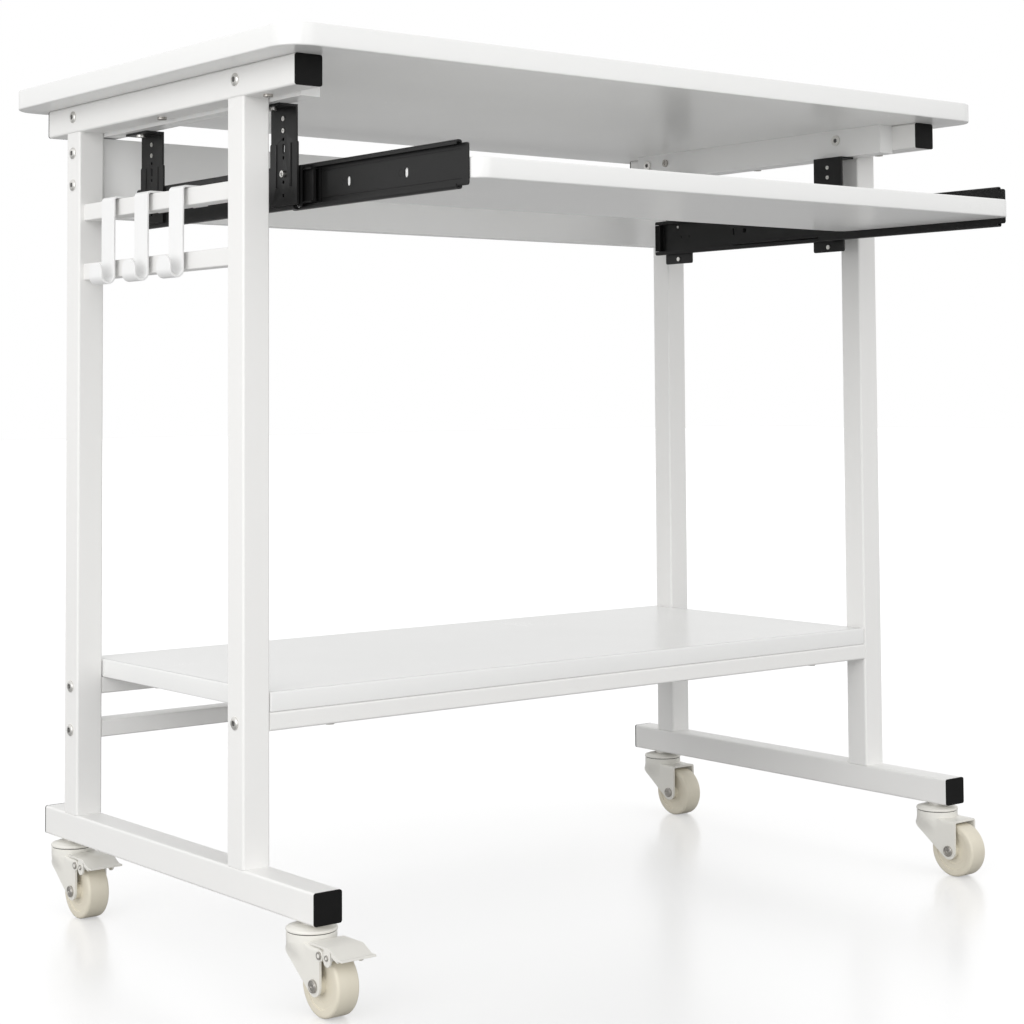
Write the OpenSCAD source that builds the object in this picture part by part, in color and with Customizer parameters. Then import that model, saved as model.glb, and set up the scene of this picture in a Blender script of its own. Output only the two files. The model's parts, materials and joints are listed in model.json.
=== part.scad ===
// Mobile laptop table: a white steel frame on four swivel casters, with a
// laminated top, a lower shelf, a pull-out keyboard tray on telescopic slides
// and two side rails that carry loose strap hooks.
// The origin is on the floor, under the middle of the whole with its tray pulled
// out, which is how it is shown. X runs to the right, Y to the rear and Z up.
// Places along Y are given from the middle of the feet, and the modules at the
// end carry every piece from there to the origin.

/* [Tabletop] */
// Width of the tabletop, left to right
top_w = 808; // [780:1:1000]
// Depth of the tabletop, front to rear
top_d = 482; // [460:1:560]
// Thickness of the tabletop
top_t = 18; // [15:1:25]
// Radius of the tabletop's corners
top_corner_r = 25; // [5:1:60]
// How far the tabletop's middle lies behind the middle of the feet
top_shift_y = 6; // [0:1:10]

/* [Frame] */
// Width of the frame over its two sides
frame_w = 750; // [730:1:770]
// Length of each foot
foot_len = 450; // [440:1:600]
// Size of the square frame tube
tube = 25; // [24:1:28]
// Wall of the frame tube
tube_wall = 1.2; // [1:0.1:2]
// Outer corner radius of the frame tube
tube_r = 2; // [1:0.1:2.4]
// Length of the uprights between foot and top tube
upright_h = 615; // [600:1:700]
// Place of the front uprights' middle
front_upright_y = -110; // [-125:1:-100]
// Place of the rear uprights' middle
rear_upright_y = 175; // [170:1:185]
// How far a top tube reaches ahead of the front upright's middle
top_tube_lead = 90; // [80:1:100]
// How far a top tube reaches behind the rear upright's middle
top_tube_tail = 50; // [40:1:60]
// Thickness of a tube end cap's face
cap_t = 1.5; // [1:0.5:3]
// Length of an end cap's plug behind its face
cap_plug = 12; // [8:1:15]

/* [Cross members] */
// Thickness of the boards' battens beside the top tubes
batten_t = 18; // [16:1:20]
// Height of the battens
batten_h = 28; // [27:1:32]
// How far the battens reach ahead of the front upright's middle
batten_lead = 59; // [52:1:66]
// How far the battens reach behind the rear upright's middle
batten_tail = 16; // [12:1:18]
// Height of the rear panel
panel_h = 73; // [65:1:80]
// Thickness of the rear panel
panel_t = 15; // [12:1:20]
// Height of a flat cross beam
beam_h = 15; // [13:1:18]
// Wall of a flat cross beam and of a hook rail
beam_wall = 1; // [0.8:0.1:1.5]
// Thickness of the plate that closes each beam's end
beam_end_t = 4; // [3:0.5:6]
// How far the low rear crossbar's underside lies below that of the shelf's beams
crossbar_drop = 39; // [28:1:60]

/* [Shelf] */
// Thickness of the shelf board
shelf_t = 16; // [12:1:20]
// Height of the shelf's underside above the floor
shelf_z = 213; // [200:1:260]
// Gap between the shelf's ends and the uprights
shelf_gap = 0.5; // [0.3:0.1:1]

/* [Hook rails] */
// Size of the square hook rail tube
rail = 15; // [13:1:16]
// How far the upper hook rail's underside lies below the tabletop
upper_rail_drop = 106; // [100:1:112]
// Height from the lower hook rail to the upper one
rail_pitch = 54; // [46:1:60]

/* [Hooks] */
// Width of a hook's strap
hook_w = 23; // [18:1:26]
// Thickness of a hook's strap
hook_t = 2; // [1.5:0.1:2.5]
// Gap between a hook's long leg and the rails
hook_gap = 4; // [3:0.5:5]
// Gap between a hook's short leg and the rail
hook_back_gap = 2; // [1:0.5:3]
// Inner radius of a hook's curl
hook_curl_r = 5; // [4:0.5:7]
// Height of a hook's tip above the middle of its curl
hook_tip_h = 12; // [9:1:16]
// Length of a hook's short leg behind the rail
hook_back_h = 13; // [8:1:15]
// Place of the middle hook
hook_mid_y = 45.5; // [40:0.5:50]
// Distance between neighbouring hooks
hook_pitch = 60.5; // [58:0.5:64]

/* [Tray] */
// Depth of the keyboard tray
tray_d = 210; // [205:1:230]
// Thickness of the keyboard tray
tray_t = 16; // [12:1:18]
// Corner radius of the keyboard tray
tray_corner_r = 14; // [5:1:20]
// How far the pulled-out tray's front edge lies ahead of the front uprights' middle
tray_reach = 237; // [232:1:240]
// How far the tray's middle lies below the slides' middle
tray_drop = 3; // [0:0.5:5]

/* [Slides] */
// Height of a slide channel
slide_h = 37.2; // [36:0.2:38]
// Room beside the balls, between a slide channel's web and its lips
ball_room = 0.8; // [0.8:0.05:1]
// Wall of a slide channel
slide_wall = 1.2; // [1:0.1:1.4]
// Gap between a slide channel's lips and the middle rail's edges
lip_gap = 0.6; // [0.4:0.1:0.9]
// Outer corner radius of a slide channel
slide_r = 2.2; // [1.6:0.1:2.4]
// Distance from the uprights' inner sides to a slide
slide_inset = 26; // [25:0.5:28]
// How far the slides' middle lies below the tabletop
slide_drop = 95; // [92:1:98]
// How far a fixed channel's front end lies ahead of its front bracket's middle
base_lead = 12; // [10:1:15]
// Gap between a fixed channel's rear end and the rear panel
base_rear_gap = 19.5; // [14:0.5:24]
// Length of a slide's middle rail
middle_len = 166; // [158:1:168]
// How far the pulled-out middle rail's front end lies ahead of the fixed channel
middle_reach = 22; // [20:1:40]
// Length of a runner channel behind its front tongue
runner_len = 225; // [219:1:228]
// Length of a runner's front tongue
tongue_len = 9; // [8:0.5:12]
// How far a runner's tongue ends behind the tray's front edge
runner_setback = 9; // [0:1:12]
// Diameter of the bearing balls
ball_d = 3; // [2.8:0.1:3]
// Number of balls in each row of a cage in the fixed channels
base_ball_count = 7; // [3:1:7]
// Number of balls in each row of a cage in the runners
runner_ball_count = 3; // [2:1:3]
// Distance between neighbouring balls
ball_pitch = 12; // [8:1:14]

/* [Brackets] */
// Width of a slide bracket
bracket_w = 38; // [34:1:42]
// Thickness of a slide bracket
bracket_t = 2; // [1.5:0.1:2.5]
// How far a bracket's flange reaches out under the batten
flange_w = 16; // [14:0.5:20]
// How far the right brackets' tabs reach below their slide
bracket_tab = 10.4; // [9:0.1:14]
// How far the left brackets end above their slide's underside
bracket_rise = 3.4; // [1:0.1:5]
// How far the front brackets' middle lies behind that of the front uprights
front_bracket_shift = 5; // [3:1:7]
// How far the rear brackets' middle lies ahead of that of the rear uprights
rear_bracket_shift = 58; // [53:1:63]

/* [Casters] */
// Height of a fork's neck, between its plate and the caster's head
neck_h = 5.6; // [5:0.1:8]
// Diameter of a caster wheel
wheel_d = 50; // [46:1:50]
// Width of a caster wheel
wheel_w = 20; // [16:1:21]
// Distance of the wheel's axle from the swivel axis
trail = 26; // [25:0.5:28]
// Distance of the front casters from the feet's front end
front_caster_inset = 23; // [22:1:30]
// Distance of the rear casters from the feet's rear end
rear_caster_inset = 32; // [28:1:40]
// Diameter of a caster's round head
head_d = 40; // [36:1:42]
// Gap between a caster wheel's tread and each cheek of its fork
cheek_gap = 3.5; // [3:0.1:5]
// Thickness of a caster's fork plate
fork_t = 2; // [1.5:0.1:2.2]

/* [Screws] */
// Diameter of the frame bolts' shanks
bolt_d = 6; // [5:0.5:6]
// Diameter of the frame bolts' button heads
bolt_head_d = 10.5; // [9:0.5:12]
// Height of the frame bolts' button heads
bolt_head_h = 1.8; // [1.5:0.1:2.6]
// Diameter of the wood and bracket screws
screw_d = 4; // [3:0.5:4]

/* [Hidden] */

// Overrun of every cut, and the clearances of loose and tight fits
cut = 1;
gap = 0.3;
fit = 0.1;
cap_wall = 1.5;

left = -1;
right = 1;
paint = "WhiteSmoke";
black = [0.08, 0.08, 0.08];
cream = [0.9, 0.87, 0.8];
putty = [0.86, 0.85, 0.82];
steel = "Silver";
$fn = 32;

// Place of the pulled-out tray, and how far the middle of the feet lies behind the origin
tray_front_y = front_upright_y - tray_reach;
middle_y = -(tray_front_y + top_shift_y + top_d / 2) / 2;

// Levels of the casters, measured from the floor
tread_gap = 2;
head_drop = 7.4;
fork_top_z = wheel_d + tread_gap + fork_t;
head_low_z = fork_top_z + neck_h;
caster_h = head_low_z + head_drop;

// Levels of the frame
foot_top = caster_h + tube;
upright_top = foot_top + upright_h;
tabletop_z = upright_top + tube;
tube_x = frame_w / 2 - tube / 2;
inner_x = frame_w / 2 - tube;
top_tube_front = front_upright_y - top_tube_lead;
top_tube_rear = rear_upright_y + top_tube_tail;
front_caster_y = -foot_len / 2 + front_caster_inset;
rear_caster_y = foot_len / 2 - rear_caster_inset;
beam_z = shelf_z - beam_h;
batten_z = tabletop_z - batten_h;
panel_gap = 1;
panel_z = batten_z - panel_gap - panel_h;
batten_front = front_upright_y - batten_lead;
batten_len = rear_upright_y + batten_tail - batten_front;
crossbar_z = beam_z - crossbar_drop;
upper_rail_z = tabletop_z - upper_rail_drop;
lower_rail_z = upper_rail_z - rail_pitch;
span_front = front_upright_y + tube / 2;
span_rear = rear_upright_y - tube / 2;

// Bolts through the uprights, as heights, and through the top tubes, as places
panel_bolt_inset = panel_h / 5;
rear_bolt_z = [panel_z + panel_h - panel_bolt_inset, panel_z + panel_h / 2 - panel_bolt_inset / 2,
    beam_z + beam_h / 2, crossbar_z + beam_h / 2];
front_bolt_z = [beam_z + beam_h / 2];
top_bolt_y = [front_upright_y, rear_upright_y];
top_bolt_z = tabletop_z - tube * 0.42;
bolt_reach = 9;
panel_bolt_reach = 40;
bolt_hex = 5;
bolt_hex_depth = bolt_head_h * 0.6;
bolt_rim_h = bolt_head_h / 2;
bolt_face_d = bolt_head_d * 0.75;
sleeve_head_t = 1.6;

// Wood screws under the tabletop and under the shelf
screw_head_d = 2 * screw_d;
screw_head_h = screw_d * 0.5;
screw_bite = 12;
top_screw_y = [front_upright_y - 1.2 * tube, (front_upright_y + rear_upright_y) / 2,
    rear_upright_y + tube];
shelf_screw_inset = 65;
shelf_screw_x = inner_x - shelf_screw_inset;
batten_screw_y = rear_upright_y - 1.2 * tube;

// Places of the brackets and the slides
front_bracket_y = front_upright_y + front_bracket_shift;
rear_bracket_y = rear_upright_y - rear_bracket_shift;
slide_x = inner_x - slide_inset;
slide_z = tabletop_z - slide_drop;
slide_low_z = slide_z - slide_h / 2;
flange_edge = 5;
flange_screw_x = slide_x + bracket_t + flange_w - flange_edge;
base_front_y = front_bracket_y - base_lead;
base_len = rear_upright_y - panel_t / 2 - base_rear_gap - base_front_y;
middle_front_y = base_front_y - middle_reach;

// Slide layers, measured inward from the slide's outer face
channel_w = ball_d + 2 * slide_wall + ball_room;
slide_w = 2 * channel_w + 2 * gap;
cavity_h = slide_h - 2 * slide_wall;
lip_h = ball_d + 2 * fit - lip_gap;
cage_t = 0.6;
cage_u = slide_wall + gap;
ball_u = channel_w - slide_wall - 2 * fit - ball_d / 2;
ball_v = cavity_h / 2 - fit - ball_d / 2;
middle_h = cavity_h - 2 * (ball_d + 2 * fit);
middle_t = 1.3;
middle_u = cage_u + cage_t + gap;
cage_margin = 15;
cage_lead = 39;
runner_front_y = tray_front_y + runner_setback + tongue_len;
base_cage_y = (base_front_y + middle_front_y + middle_len) / 2 - cage_lead;
runner_cage_y = (runner_front_y + runner_len + middle_front_y) / 2;
tongue_h = slide_h * 0.86;
tray_half = slide_x - slide_w;
tray_z = slide_z - tray_drop - tray_t / 2;

// Holes along the fixed channel and the runner, measured from their own ends
web_hole_d = 5;
slot_h = 8;
slot_w = 3.4;
base_hole_y = [front_bracket_y, rear_bracket_y];
base_open_back = 124;
slot_pitch = 8;
base_open_y = base_front_y + base_open_back;
base_slot_y = [base_open_y + 2 * slot_pitch, base_open_y + 3 * slot_pitch];
base_dimple_back = 38;
base_dimple_y = [base_front_y + base_len - base_dimple_back,
    base_front_y + base_len - base_dimple_back - 1.5 * slot_pitch];
runner_hole_back = 70;
runner_hole_pitch = 79;
runner_hole_w = 5;
runner_screw_shift = 7;
runner_hole_y = [runner_front_y + runner_hole_back,
    runner_front_y + runner_hole_back + runner_hole_pitch];
runner_screw_y = [for (y = runner_hole_y) y + runner_screw_shift];
countersink_d = 5.6;
groove_w = 1.4;
groove_depth = 0.5;
groove_v = slide_h * 0.3;

// Latches and stop blocks of the slides
latch_len = 36;
latch_h = 8;
latch_t = 3;
bumper_len = 8;

// Slide brackets
flange_z = batten_z - bracket_t;
bracket_screw_z = slide_z + slide_h * 0.3;
bracket_eye_z = [slide_z + slide_h * 0.12, slide_z - slide_h * 0.18];
bracket_eye_d = 3;
dimple_depth = bracket_t * 0.6;
bracket_dimple_z = [slide_z + slide_h * 0.66, slide_z + slide_h * 1.07];
eyelet_d = 5.6;
eyelet_t = 0.6;
eyelet_bore = 2.2;
eyelet_hole_d = 3.8;
bracket_hole_drop = 8;
bracket_hole_pitch = 10;
bracket_slot_drop = 33;
bracket_tab_rise = 5;
bracket_hole_z = [flange_z - bracket_hole_drop, flange_z - bracket_hole_drop - bracket_hole_pitch];
bracket_slot_z = flange_z - bracket_slot_drop;
bracket_tab_z = slide_low_z - bracket_tab + bracket_tab_rise;
rib_w = 2;
rib_h = 36;
rib_t = 0.6;
rib_inset = 8;
step_w = 3;

// Hooks
hook_leg_x = frame_w / 2 - (tube - rail) / 2 + hook_gap;
hook_back_x = frame_w / 2 - (tube + rail) / 2 - hook_back_gap;
hook_seat_z = upper_rail_z + rail;
hook_curl_z = lower_rail_z + fit;
hook_curl_x = hook_leg_x + hook_t + hook_curl_r;
hook_tip_r = 9;
hook_ys = [hook_mid_y + hook_pitch, hook_mid_y, hook_mid_y - hook_pitch];

// Casters, measured from the swivel axis and the floor
wheel_r = wheel_d / 2;
cheek_x = wheel_w / 2 + cheek_gap;
fork_w = 2 * (cheek_x + fork_t);
pin_d = 12;
pin_foot_d = 18;
pin_foot_t = 1;
stem_d = 8;
stem_up = 14;
collar_d = 16;
collar_h = 2.5;
axle_d = 6;
axle_head_d = 10;
axle_head_t = 2;
axle_eye_r = 8;
cheek_back = head_d * 0.3;
cheek_knee_z = wheel_d * 0.92;

// Brake pedals, measured the same way
lobe_r = 4.5;
pivot_drop = 1;
pivot_y = -trail - axle_eye_r + fit;
pivot_z = wheel_d - pivot_drop;
pivot_d = 3;
pedal_t = 1.6;
pedal_gap = 0.8;
pedal_reach = 13;
pedal_bend = 4;
pedal_step_len = 11;
pedal_step_h = 5.5;
skirt_h = 12.5;
skirt_w = 9;
skirt_gap = 1;
side_h = 3;
notch_w = 1.5;
stud_d = 4.5;
stud_t = 0.6;
shoe_len = 7;
shoe_gap = 1.8;

// Wheels
hub_d = 14;
recess_d = 36;
recess_t = 1.2;
tread_r = 2.5;

// Draws a left-hand shape as it is, or mirrored for the right-hand side
module on_side(side) {
    if (side == right) mirror([1, 0, 0]) children();
    else children();
}

// A rectangle about the origin with true round corners
module round_rect(w, h, r) {
    square([w - 2 * r, h], center = true);
    square([w, h - 2 * r], center = true);
    for (sx = [-1, 1], sy = [-1, 1])
        translate([sx * (w / 2 - r), sy * (h / 2 - r)]) circle(r);
}

// A round-ended slot about the origin, its length along the second axis
module slot_shape(w, h) {
    square([w, h - w], center = true);
    for (s = [-1, 1]) translate([0, s * (h - w) / 2]) circle(d = w);
}

// A hollow rectangular tube along Z, about the origin
module hollow_tube(w, h, len, wall, r) {
    linear_extrude(len, center = true) difference() {
        round_rect(w, h, r);
        round_rect(w - 2 * wall, h - 2 * wall, r / 2);
    }
}

// A hole along X, about the origin
module bore_x(d, len) {
    rotate([0, 90, 0]) cylinder(d = d, h = len, center = true);
}

// A board lying flat, with its underside at height z
module board(w, d, t, r) {
    linear_extrude(t) round_rect(w, d, r);
}

// Tabletop
module tabletop() {
    color(paint) difference() {
        translate([0, top_shift_y, tabletop_z]) board(top_w, top_d, top_t, top_corner_r);
        for (sx = [left, right], y = top_screw_y)
            translate([sx * tube_x, y, tabletop_z - cut])
                cylinder(d = screw_d + fit, h = screw_bite + cut);
    }
}

// Left top tube, bored for its bolts and for the tabletop's screws
module top_tube() {
    color(paint) difference() {
        translate([-tube_x, (top_tube_front + top_tube_rear) / 2, upright_top + tube / 2])
            rotate([90, 0, 0])
                hollow_tube(tube, tube, top_tube_rear - top_tube_front - 2 * cap_t, tube_wall, tube_r);
        for (y = top_bolt_y)
            translate([-tube_x, y, top_bolt_z]) bore_x(bolt_d + 2 * fit, tube + 2 * cut);
        translate([-inner_x, batten_screw_y, top_bolt_z]) bore_x(screw_d + fit, 2 * tube_wall + cut);
        for (y = top_screw_y)
            translate([-tube_x, y, upright_top - cut])
                cylinder(d = screw_d + 2 * fit, h = tube + 2 * cut);
    }
}

// Left upright at place y, bored for the bolts at the given heights
module upright(y, bolt_heights) {
    color(paint) difference() {
        translate([-tube_x, y, foot_top + upright_h / 2])
            hollow_tube(tube, tube, upright_h, tube_wall, tube_r);
        for (z = bolt_heights)
            translate([-tube_x, y, z]) bore_x(bolt_d + 2 * fit, tube + 2 * cut);
    }
}

// Left foot tube, bored below for the two caster stems
module foot_tube() {
    color(paint) difference() {
        translate([-tube_x, 0, caster_h + tube / 2]) rotate([90, 0, 0])
            hollow_tube(tube, tube, foot_len - 2 * cap_t, tube_wall, tube_r);
        for (y = [front_caster_y, rear_caster_y])
            translate([-tube_x, y, caster_h - cut])
                cylinder(d = stem_d + 2 * fit, h = tube_wall + 2 * cut);
    }
}

// One plastic end cap: a thin face over the tube's end and a hollow plug inside it
module end_cap() {
    plug = tube - 2 * tube_wall - 2 * fit;
    translate([0, -cap_t / 2, 0]) rotate([90, 0, 0])
        linear_extrude(cap_t, center = true) round_rect(tube, tube, tube_r);
    translate([0, cap_plug / 2, 0]) rotate([90, 0, 0])
        hollow_tube(plug, plug, cap_plug, cap_wall, tube_r / 2);
}

// The four caps of one side, turned to face outward at both ends
module side_caps() {
    for (row = [[-foot_len / 2, foot_len / 2, caster_h], [top_tube_front, top_tube_rear, upright_top]],
         end = [0, 1])
        translate([-tube_x, row[end] + cap_t * (1 - 2 * end), row[2] + tube / 2])
            rotate([0, 0, 180 * end]) end_cap();
}

module tube_end_caps() {
    color(black) {
        side_caps();
        on_side(right) side_caps();
    }
}

// Batten beside the left top tube
module batten() {
    color(paint) difference() {
        translate([-inner_x, batten_front, batten_z]) cube([batten_t, batten_len, batten_h]);
        for (y = top_bolt_y)
            translate([-inner_x, y, top_bolt_z]) bore_x(bolt_d + 2 * fit, 2 * batten_t + cut);
        translate([-inner_x, batten_screw_y, top_bolt_z]) bore_x(screw_d + 2 * fit, 2 * batten_t + cut);
        for (y = base_hole_y)
            translate([-flange_screw_x, y, batten_z - cut])
                cylinder(d = screw_d + fit, h = screw_bite + cut);
    }
}

// Panel between the rear uprights, with blind holes for its bolts
module rear_panel() {
    color(paint) difference() {
        translate([-inner_x, rear_upright_y - panel_t / 2, panel_z])
            cube([2 * inner_x, panel_t, panel_h]);
        for (sx = [left, right], i = [0, 1])
            translate([sx * inner_x, rear_upright_y, rear_bolt_z[i]])
                bore_x(bolt_d + 2 * fit, 2 * (panel_bolt_reach - tube + fit));
    }
}

// Flat hollow beam between two uprights, its ends closed by bored plates
module cross_beam(y, z) {
    translate([0, y, z + beam_h / 2]) difference() {
        union() {
            rotate([90, 0, 90]) hollow_tube(tube, beam_h, 2 * inner_x, beam_wall, tube_r);
            for (sx = [left, right])
                translate([sx * (inner_x - beam_end_t / 2), 0, 0])
                    cube([beam_end_t, tube - 2 * beam_wall, beam_h - 2 * beam_wall], center = true);
        }
        for (sx = [left, right])
            translate([sx * inner_x, 0, 0]) bore_x(bolt_d + 2 * fit, 2 * (beam_end_t + cut));
    }
}

// Beam under the shelf, bored through for the shelf's screws
module shelf_beam(y) {
    color(paint) difference() {
        cross_beam(y, beam_z);
        for (sx = [left, right])
            translate([sx * shelf_screw_x, y, beam_z - cut])
                cylinder(d = screw_d + 2 * fit, h = beam_h + 2 * cut);
    }
}

module shelf_front_beam() shelf_beam(front_upright_y);
module shelf_rear_beam() shelf_beam(rear_upright_y);

module rear_crossbar() {
    color(paint) cross_beam(rear_upright_y, crossbar_z);
}

// Shelf board between the two side frames
module shelf_board() {
    depth = rear_upright_y - front_upright_y + tube;
    color(paint) difference() {
        translate([0, (rear_upright_y + front_upright_y) / 2, shelf_z])
            board(2 * (inner_x - shelf_gap), depth, shelf_t, tube_wall);
        for (sx = [left, right], y = [front_upright_y, rear_upright_y])
            translate([sx * shelf_screw_x, y, shelf_z - cut])
                cylinder(d = screw_d + fit, h = screw_bite + cut);
    }
}

// Square rail between the two left uprights
module hook_rail(z) {
    color(paint) translate([-tube_x, (span_front + span_rear) / 2, z + rail / 2])
        rotate([90, 0, 0]) hollow_tube(rail, rail, span_rear - span_front, beam_wall, tube_r / 2);
}

module upper_hook_rail() hook_rail(upper_rail_z);
module lower_hook_rail() hook_rail(lower_rail_z);

// Button-head bolt along +X, its head's seat at the origin
module button_bolt(reach) {
    rotate([0, 90, 0]) {
        cylinder(d = bolt_d, h = reach);
        difference() {
            union() {
                translate([0, 0, -bolt_rim_h]) cylinder(d = bolt_head_d, h = bolt_rim_h);
                translate([0, 0, -bolt_head_h])
                    cylinder(d1 = bolt_face_d, d2 = bolt_head_d, h = bolt_head_h - bolt_rim_h);
            }
            translate([0, 0, -bolt_head_h - cut])
                cylinder(d = bolt_hex, h = bolt_hex_depth + cut, $fn = 6);
        }
    }
}

// Round head of the sleeve that a top tube's bolt screws into
module sleeve_head() {
    rotate([0, 90, 0]) difference() {
        cylinder(d = bolt_head_d, h = sleeve_head_t);
        translate([0, 0, sleeve_head_t / 2]) cylinder(d = bolt_hex, h = sleeve_head_t, $fn = 6);
    }
}

// All bolts of the left side frame, heads outward
module side_bolts() {
    x = -frame_w / 2;
    for (y = top_bolt_y) translate([x, y, top_bolt_z]) {
        button_bolt(tube + batten_t);
        translate([tube + batten_t, 0, 0]) sleeve_head();
    }
    for (i = [0, 1]) translate([x, rear_upright_y, rear_bolt_z[i]]) button_bolt(panel_bolt_reach);
    for (i = [2, 3]) translate([x, rear_upright_y, rear_bolt_z[i]]) button_bolt(tube + bolt_reach);
    translate([x, front_upright_y, front_bolt_z[0]]) button_bolt(tube + bolt_reach);
}

module frame_bolts() {
    color(steel) {
        side_bolts();
        on_side(right) side_bolts();
    }
}

// Pan-head screw along +Z, its head's seat at the origin
module pan_screw(reach) {
    cylinder(d = screw_d, h = reach);
    difference() {
        translate([0, 0, -screw_head_h]) cylinder(d = screw_head_d, h = screw_head_h);
        translate([0, 0, -screw_head_h])
            cube([screw_head_d * 0.6, screw_d * 0.25, screw_head_h], center = true);
        translate([0, 0, -screw_head_h])
            cube([screw_d * 0.25, screw_head_d * 0.6, screw_head_h], center = true);
    }
}

// Screws into the tabletop, the shelf and the left top tube
module side_board_screws() {
    for (y = top_screw_y) translate([-tube_x, y, upright_top]) pan_screw(tube + screw_bite);
    for (y = [front_upright_y, rear_upright_y])
        translate([-shelf_screw_x, y, beam_z]) pan_screw(beam_h + screw_bite);
    translate([-inner_x + batten_t, batten_screw_y, top_bolt_z])
        rotate([0, -90, 0]) pan_screw(batten_t + tube_wall);
}

module board_screws() {
    color(steel) {
        side_board_screws();
        on_side(right) side_board_screws();
    }
}

// Left slide bracket at place y, hung under the batten; low is where its plate ends,
// and a tab is the bored end that hangs below the slide
module bracket(y, low, tab) {
    low_h = slide_z + slide_h - low;
    color(black) translate([-slide_x, y, 0]) difference() {
        union() {
            translate([-bracket_t, -bracket_w / 2, slide_z])
                cube([bracket_t, bracket_w, flange_z + bracket_t - slide_z]);
            translate([-bracket_t, 0, low + low_h / 2]) rotate([90, 0, 90])
                linear_extrude(bracket_t) round_rect(bracket_w + step_w, low_h, tube_r);
            translate([-bracket_t - flange_w, -bracket_w / 2, flange_z])
                cube([flange_w + bracket_t, bracket_w, bracket_t]);
            for (sy = [-1, 1])
                translate([-bracket_t - rib_t, sy * (bracket_w / 2 - rib_inset) - rib_w / 2, slide_z])
                    cube([bracket_t, rib_w, rib_h]);
        }
        for (z = bracket_hole_z) translate([0, 0, z]) bore_x(eyelet_hole_d, 3 * bracket_t);
        for (z = bracket_eye_z) translate([0, 0, z]) bore_x(bracket_eye_d, 3 * bracket_t);
        for (z = bracket_dimple_z) translate([-bracket_t, 0, z]) bore_x(bracket_eye_d, 2 * dimple_depth);
        translate([0, 0, bracket_screw_z]) bore_x(screw_d + 2 * fit, 3 * bracket_t);
        if (tab) translate([0, 0, bracket_tab_z]) bore_x(screw_d, 3 * bracket_t);
        translate([0, 0, bracket_slot_z]) rotate([90, 0, 90])
            linear_extrude(3 * bracket_t, center = true) slot_shape(slot_w, slot_h);
        translate([slide_x - flange_screw_x, 0, flange_z - cut])
            cylinder(d = screw_d + 2 * fit, h = bracket_t + 2 * cut);
    }
}

module left_bracket(y) bracket(y, slide_low_z + bracket_rise, false);
module right_bracket(y) bracket(y, slide_low_z - bracket_tab, true);

// Screws of the left side's brackets: one into the batten, one into the slide's web,
// and two eyelets each, with a screw in each tab where there is one
module side_bracket_screws(tab) {
    for (y = base_hole_y) {
        translate([-flange_screw_x, y, flange_z]) pan_screw(bracket_t + screw_bite);
        translate([-slide_x - bracket_t, y, bracket_screw_z]) rotate([0, 90, 0])
            pan_screw(bracket_t + slide_wall);
        for (z = bracket_hole_z) translate([-slide_x - bracket_t / 2, y, z]) eyelet();
        if (tab) translate([-slide_x, y, bracket_tab_z]) rotate([0, -90, 0]) tab_screw();
    }
}

// Hollow rivet through a bracket's plate, a rim on each face
module eyelet() {
    difference() {
        union() {
            bore_x(eyelet_hole_d - fit, bracket_t);
            for (sx = [-1, 1]) translate([sx * (bracket_t + eyelet_t) / 2, 0, 0])
                bore_x(eyelet_d, eyelet_t);
        }
        bore_x(eyelet_bore, 2 * bracket_t);
    }
}

// Short screw that fills the lower tab's hole, its head inward
module tab_screw() {
    cylinder(d = screw_d - fit, h = bracket_t);
    translate([0, 0, -screw_head_h / 2]) cylinder(d = screw_head_d * 0.8, h = screw_head_h / 2);
}

module bracket_screws() {
    color(steel) {
        side_bracket_screws(false);
        on_side(right) side_bracket_screws(true);
    }
}

// Cross-section of a slide channel that opens to +X, about its own height
module channel_section() {
    difference() {
        translate([channel_w / 2, 0]) round_rect(channel_w, slide_h, slide_r);
        translate([channel_w / 2, 0])
            round_rect(channel_w - 2 * slide_wall, cavity_h, slide_wall / 2);
        translate([channel_w - slide_wall - cut, lip_h - cavity_h / 2])
            square([slide_wall + 2 * cut, cavity_h - 2 * lip_h]);
    }
}

// Fixed channel of the left slide
module slide_base() {
    color(black) translate([-slide_x, base_front_y, slide_z]) difference() {
        translate([0, base_len, 0]) rotate([90, 0, 0]) linear_extrude(base_len) channel_section();
        for (y = base_hole_y)
            translate([0, y - base_front_y, bracket_screw_z - slide_z])
                bore_x(screw_d + 2 * fit, 3 * slide_wall);
        translate([0, base_open_y - base_front_y, 0]) bore_x(web_hole_d, 3 * slide_wall);
        for (y = base_slot_y) translate([0, y - base_front_y, 0]) rotate([90, 0, 90])
            linear_extrude(3 * slide_wall, center = true) slot_shape(slot_w, slot_h);
        for (y = base_dimple_y)
            translate([slide_wall, y - base_front_y, 0]) bore_x(slot_w, slide_wall);
    }
}

// Bright hold-in latch on the outside of the left slide
module slide_latch() {
    translate([-slide_x - latch_t, front_upright_y + tube + latch_len, slide_z + slide_h / 5]) {
        translate([latch_t / 2, latch_len / 2, 0]) rotate([0, 90, 0])
            linear_extrude(latch_t, center = true) round_rect(latch_h, latch_len, latch_h / 3);
        translate([-latch_t / 3, latch_len * 0.7, 0]) rotate([0, 90, 0])
            cylinder(d = latch_h * 0.6, h = latch_t / 2);
    }
}

module slide_latches() {
    color(steel) {
        slide_latch();
        on_side(right) slide_latch();
    }
}

// Plastic stop block in the rear end of the left fixed channel
module slide_bumper() {
    y = base_front_y + base_len - bumper_len;
    translate([-slide_x + slide_wall, y, slide_z - middle_h / 2])
        cube([channel_w - slide_wall, bumper_len, middle_h]);
}

module slide_bumpers() {
    color(black) {
        slide_bumper();
        on_side(right) slide_bumper();
    }
}

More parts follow.
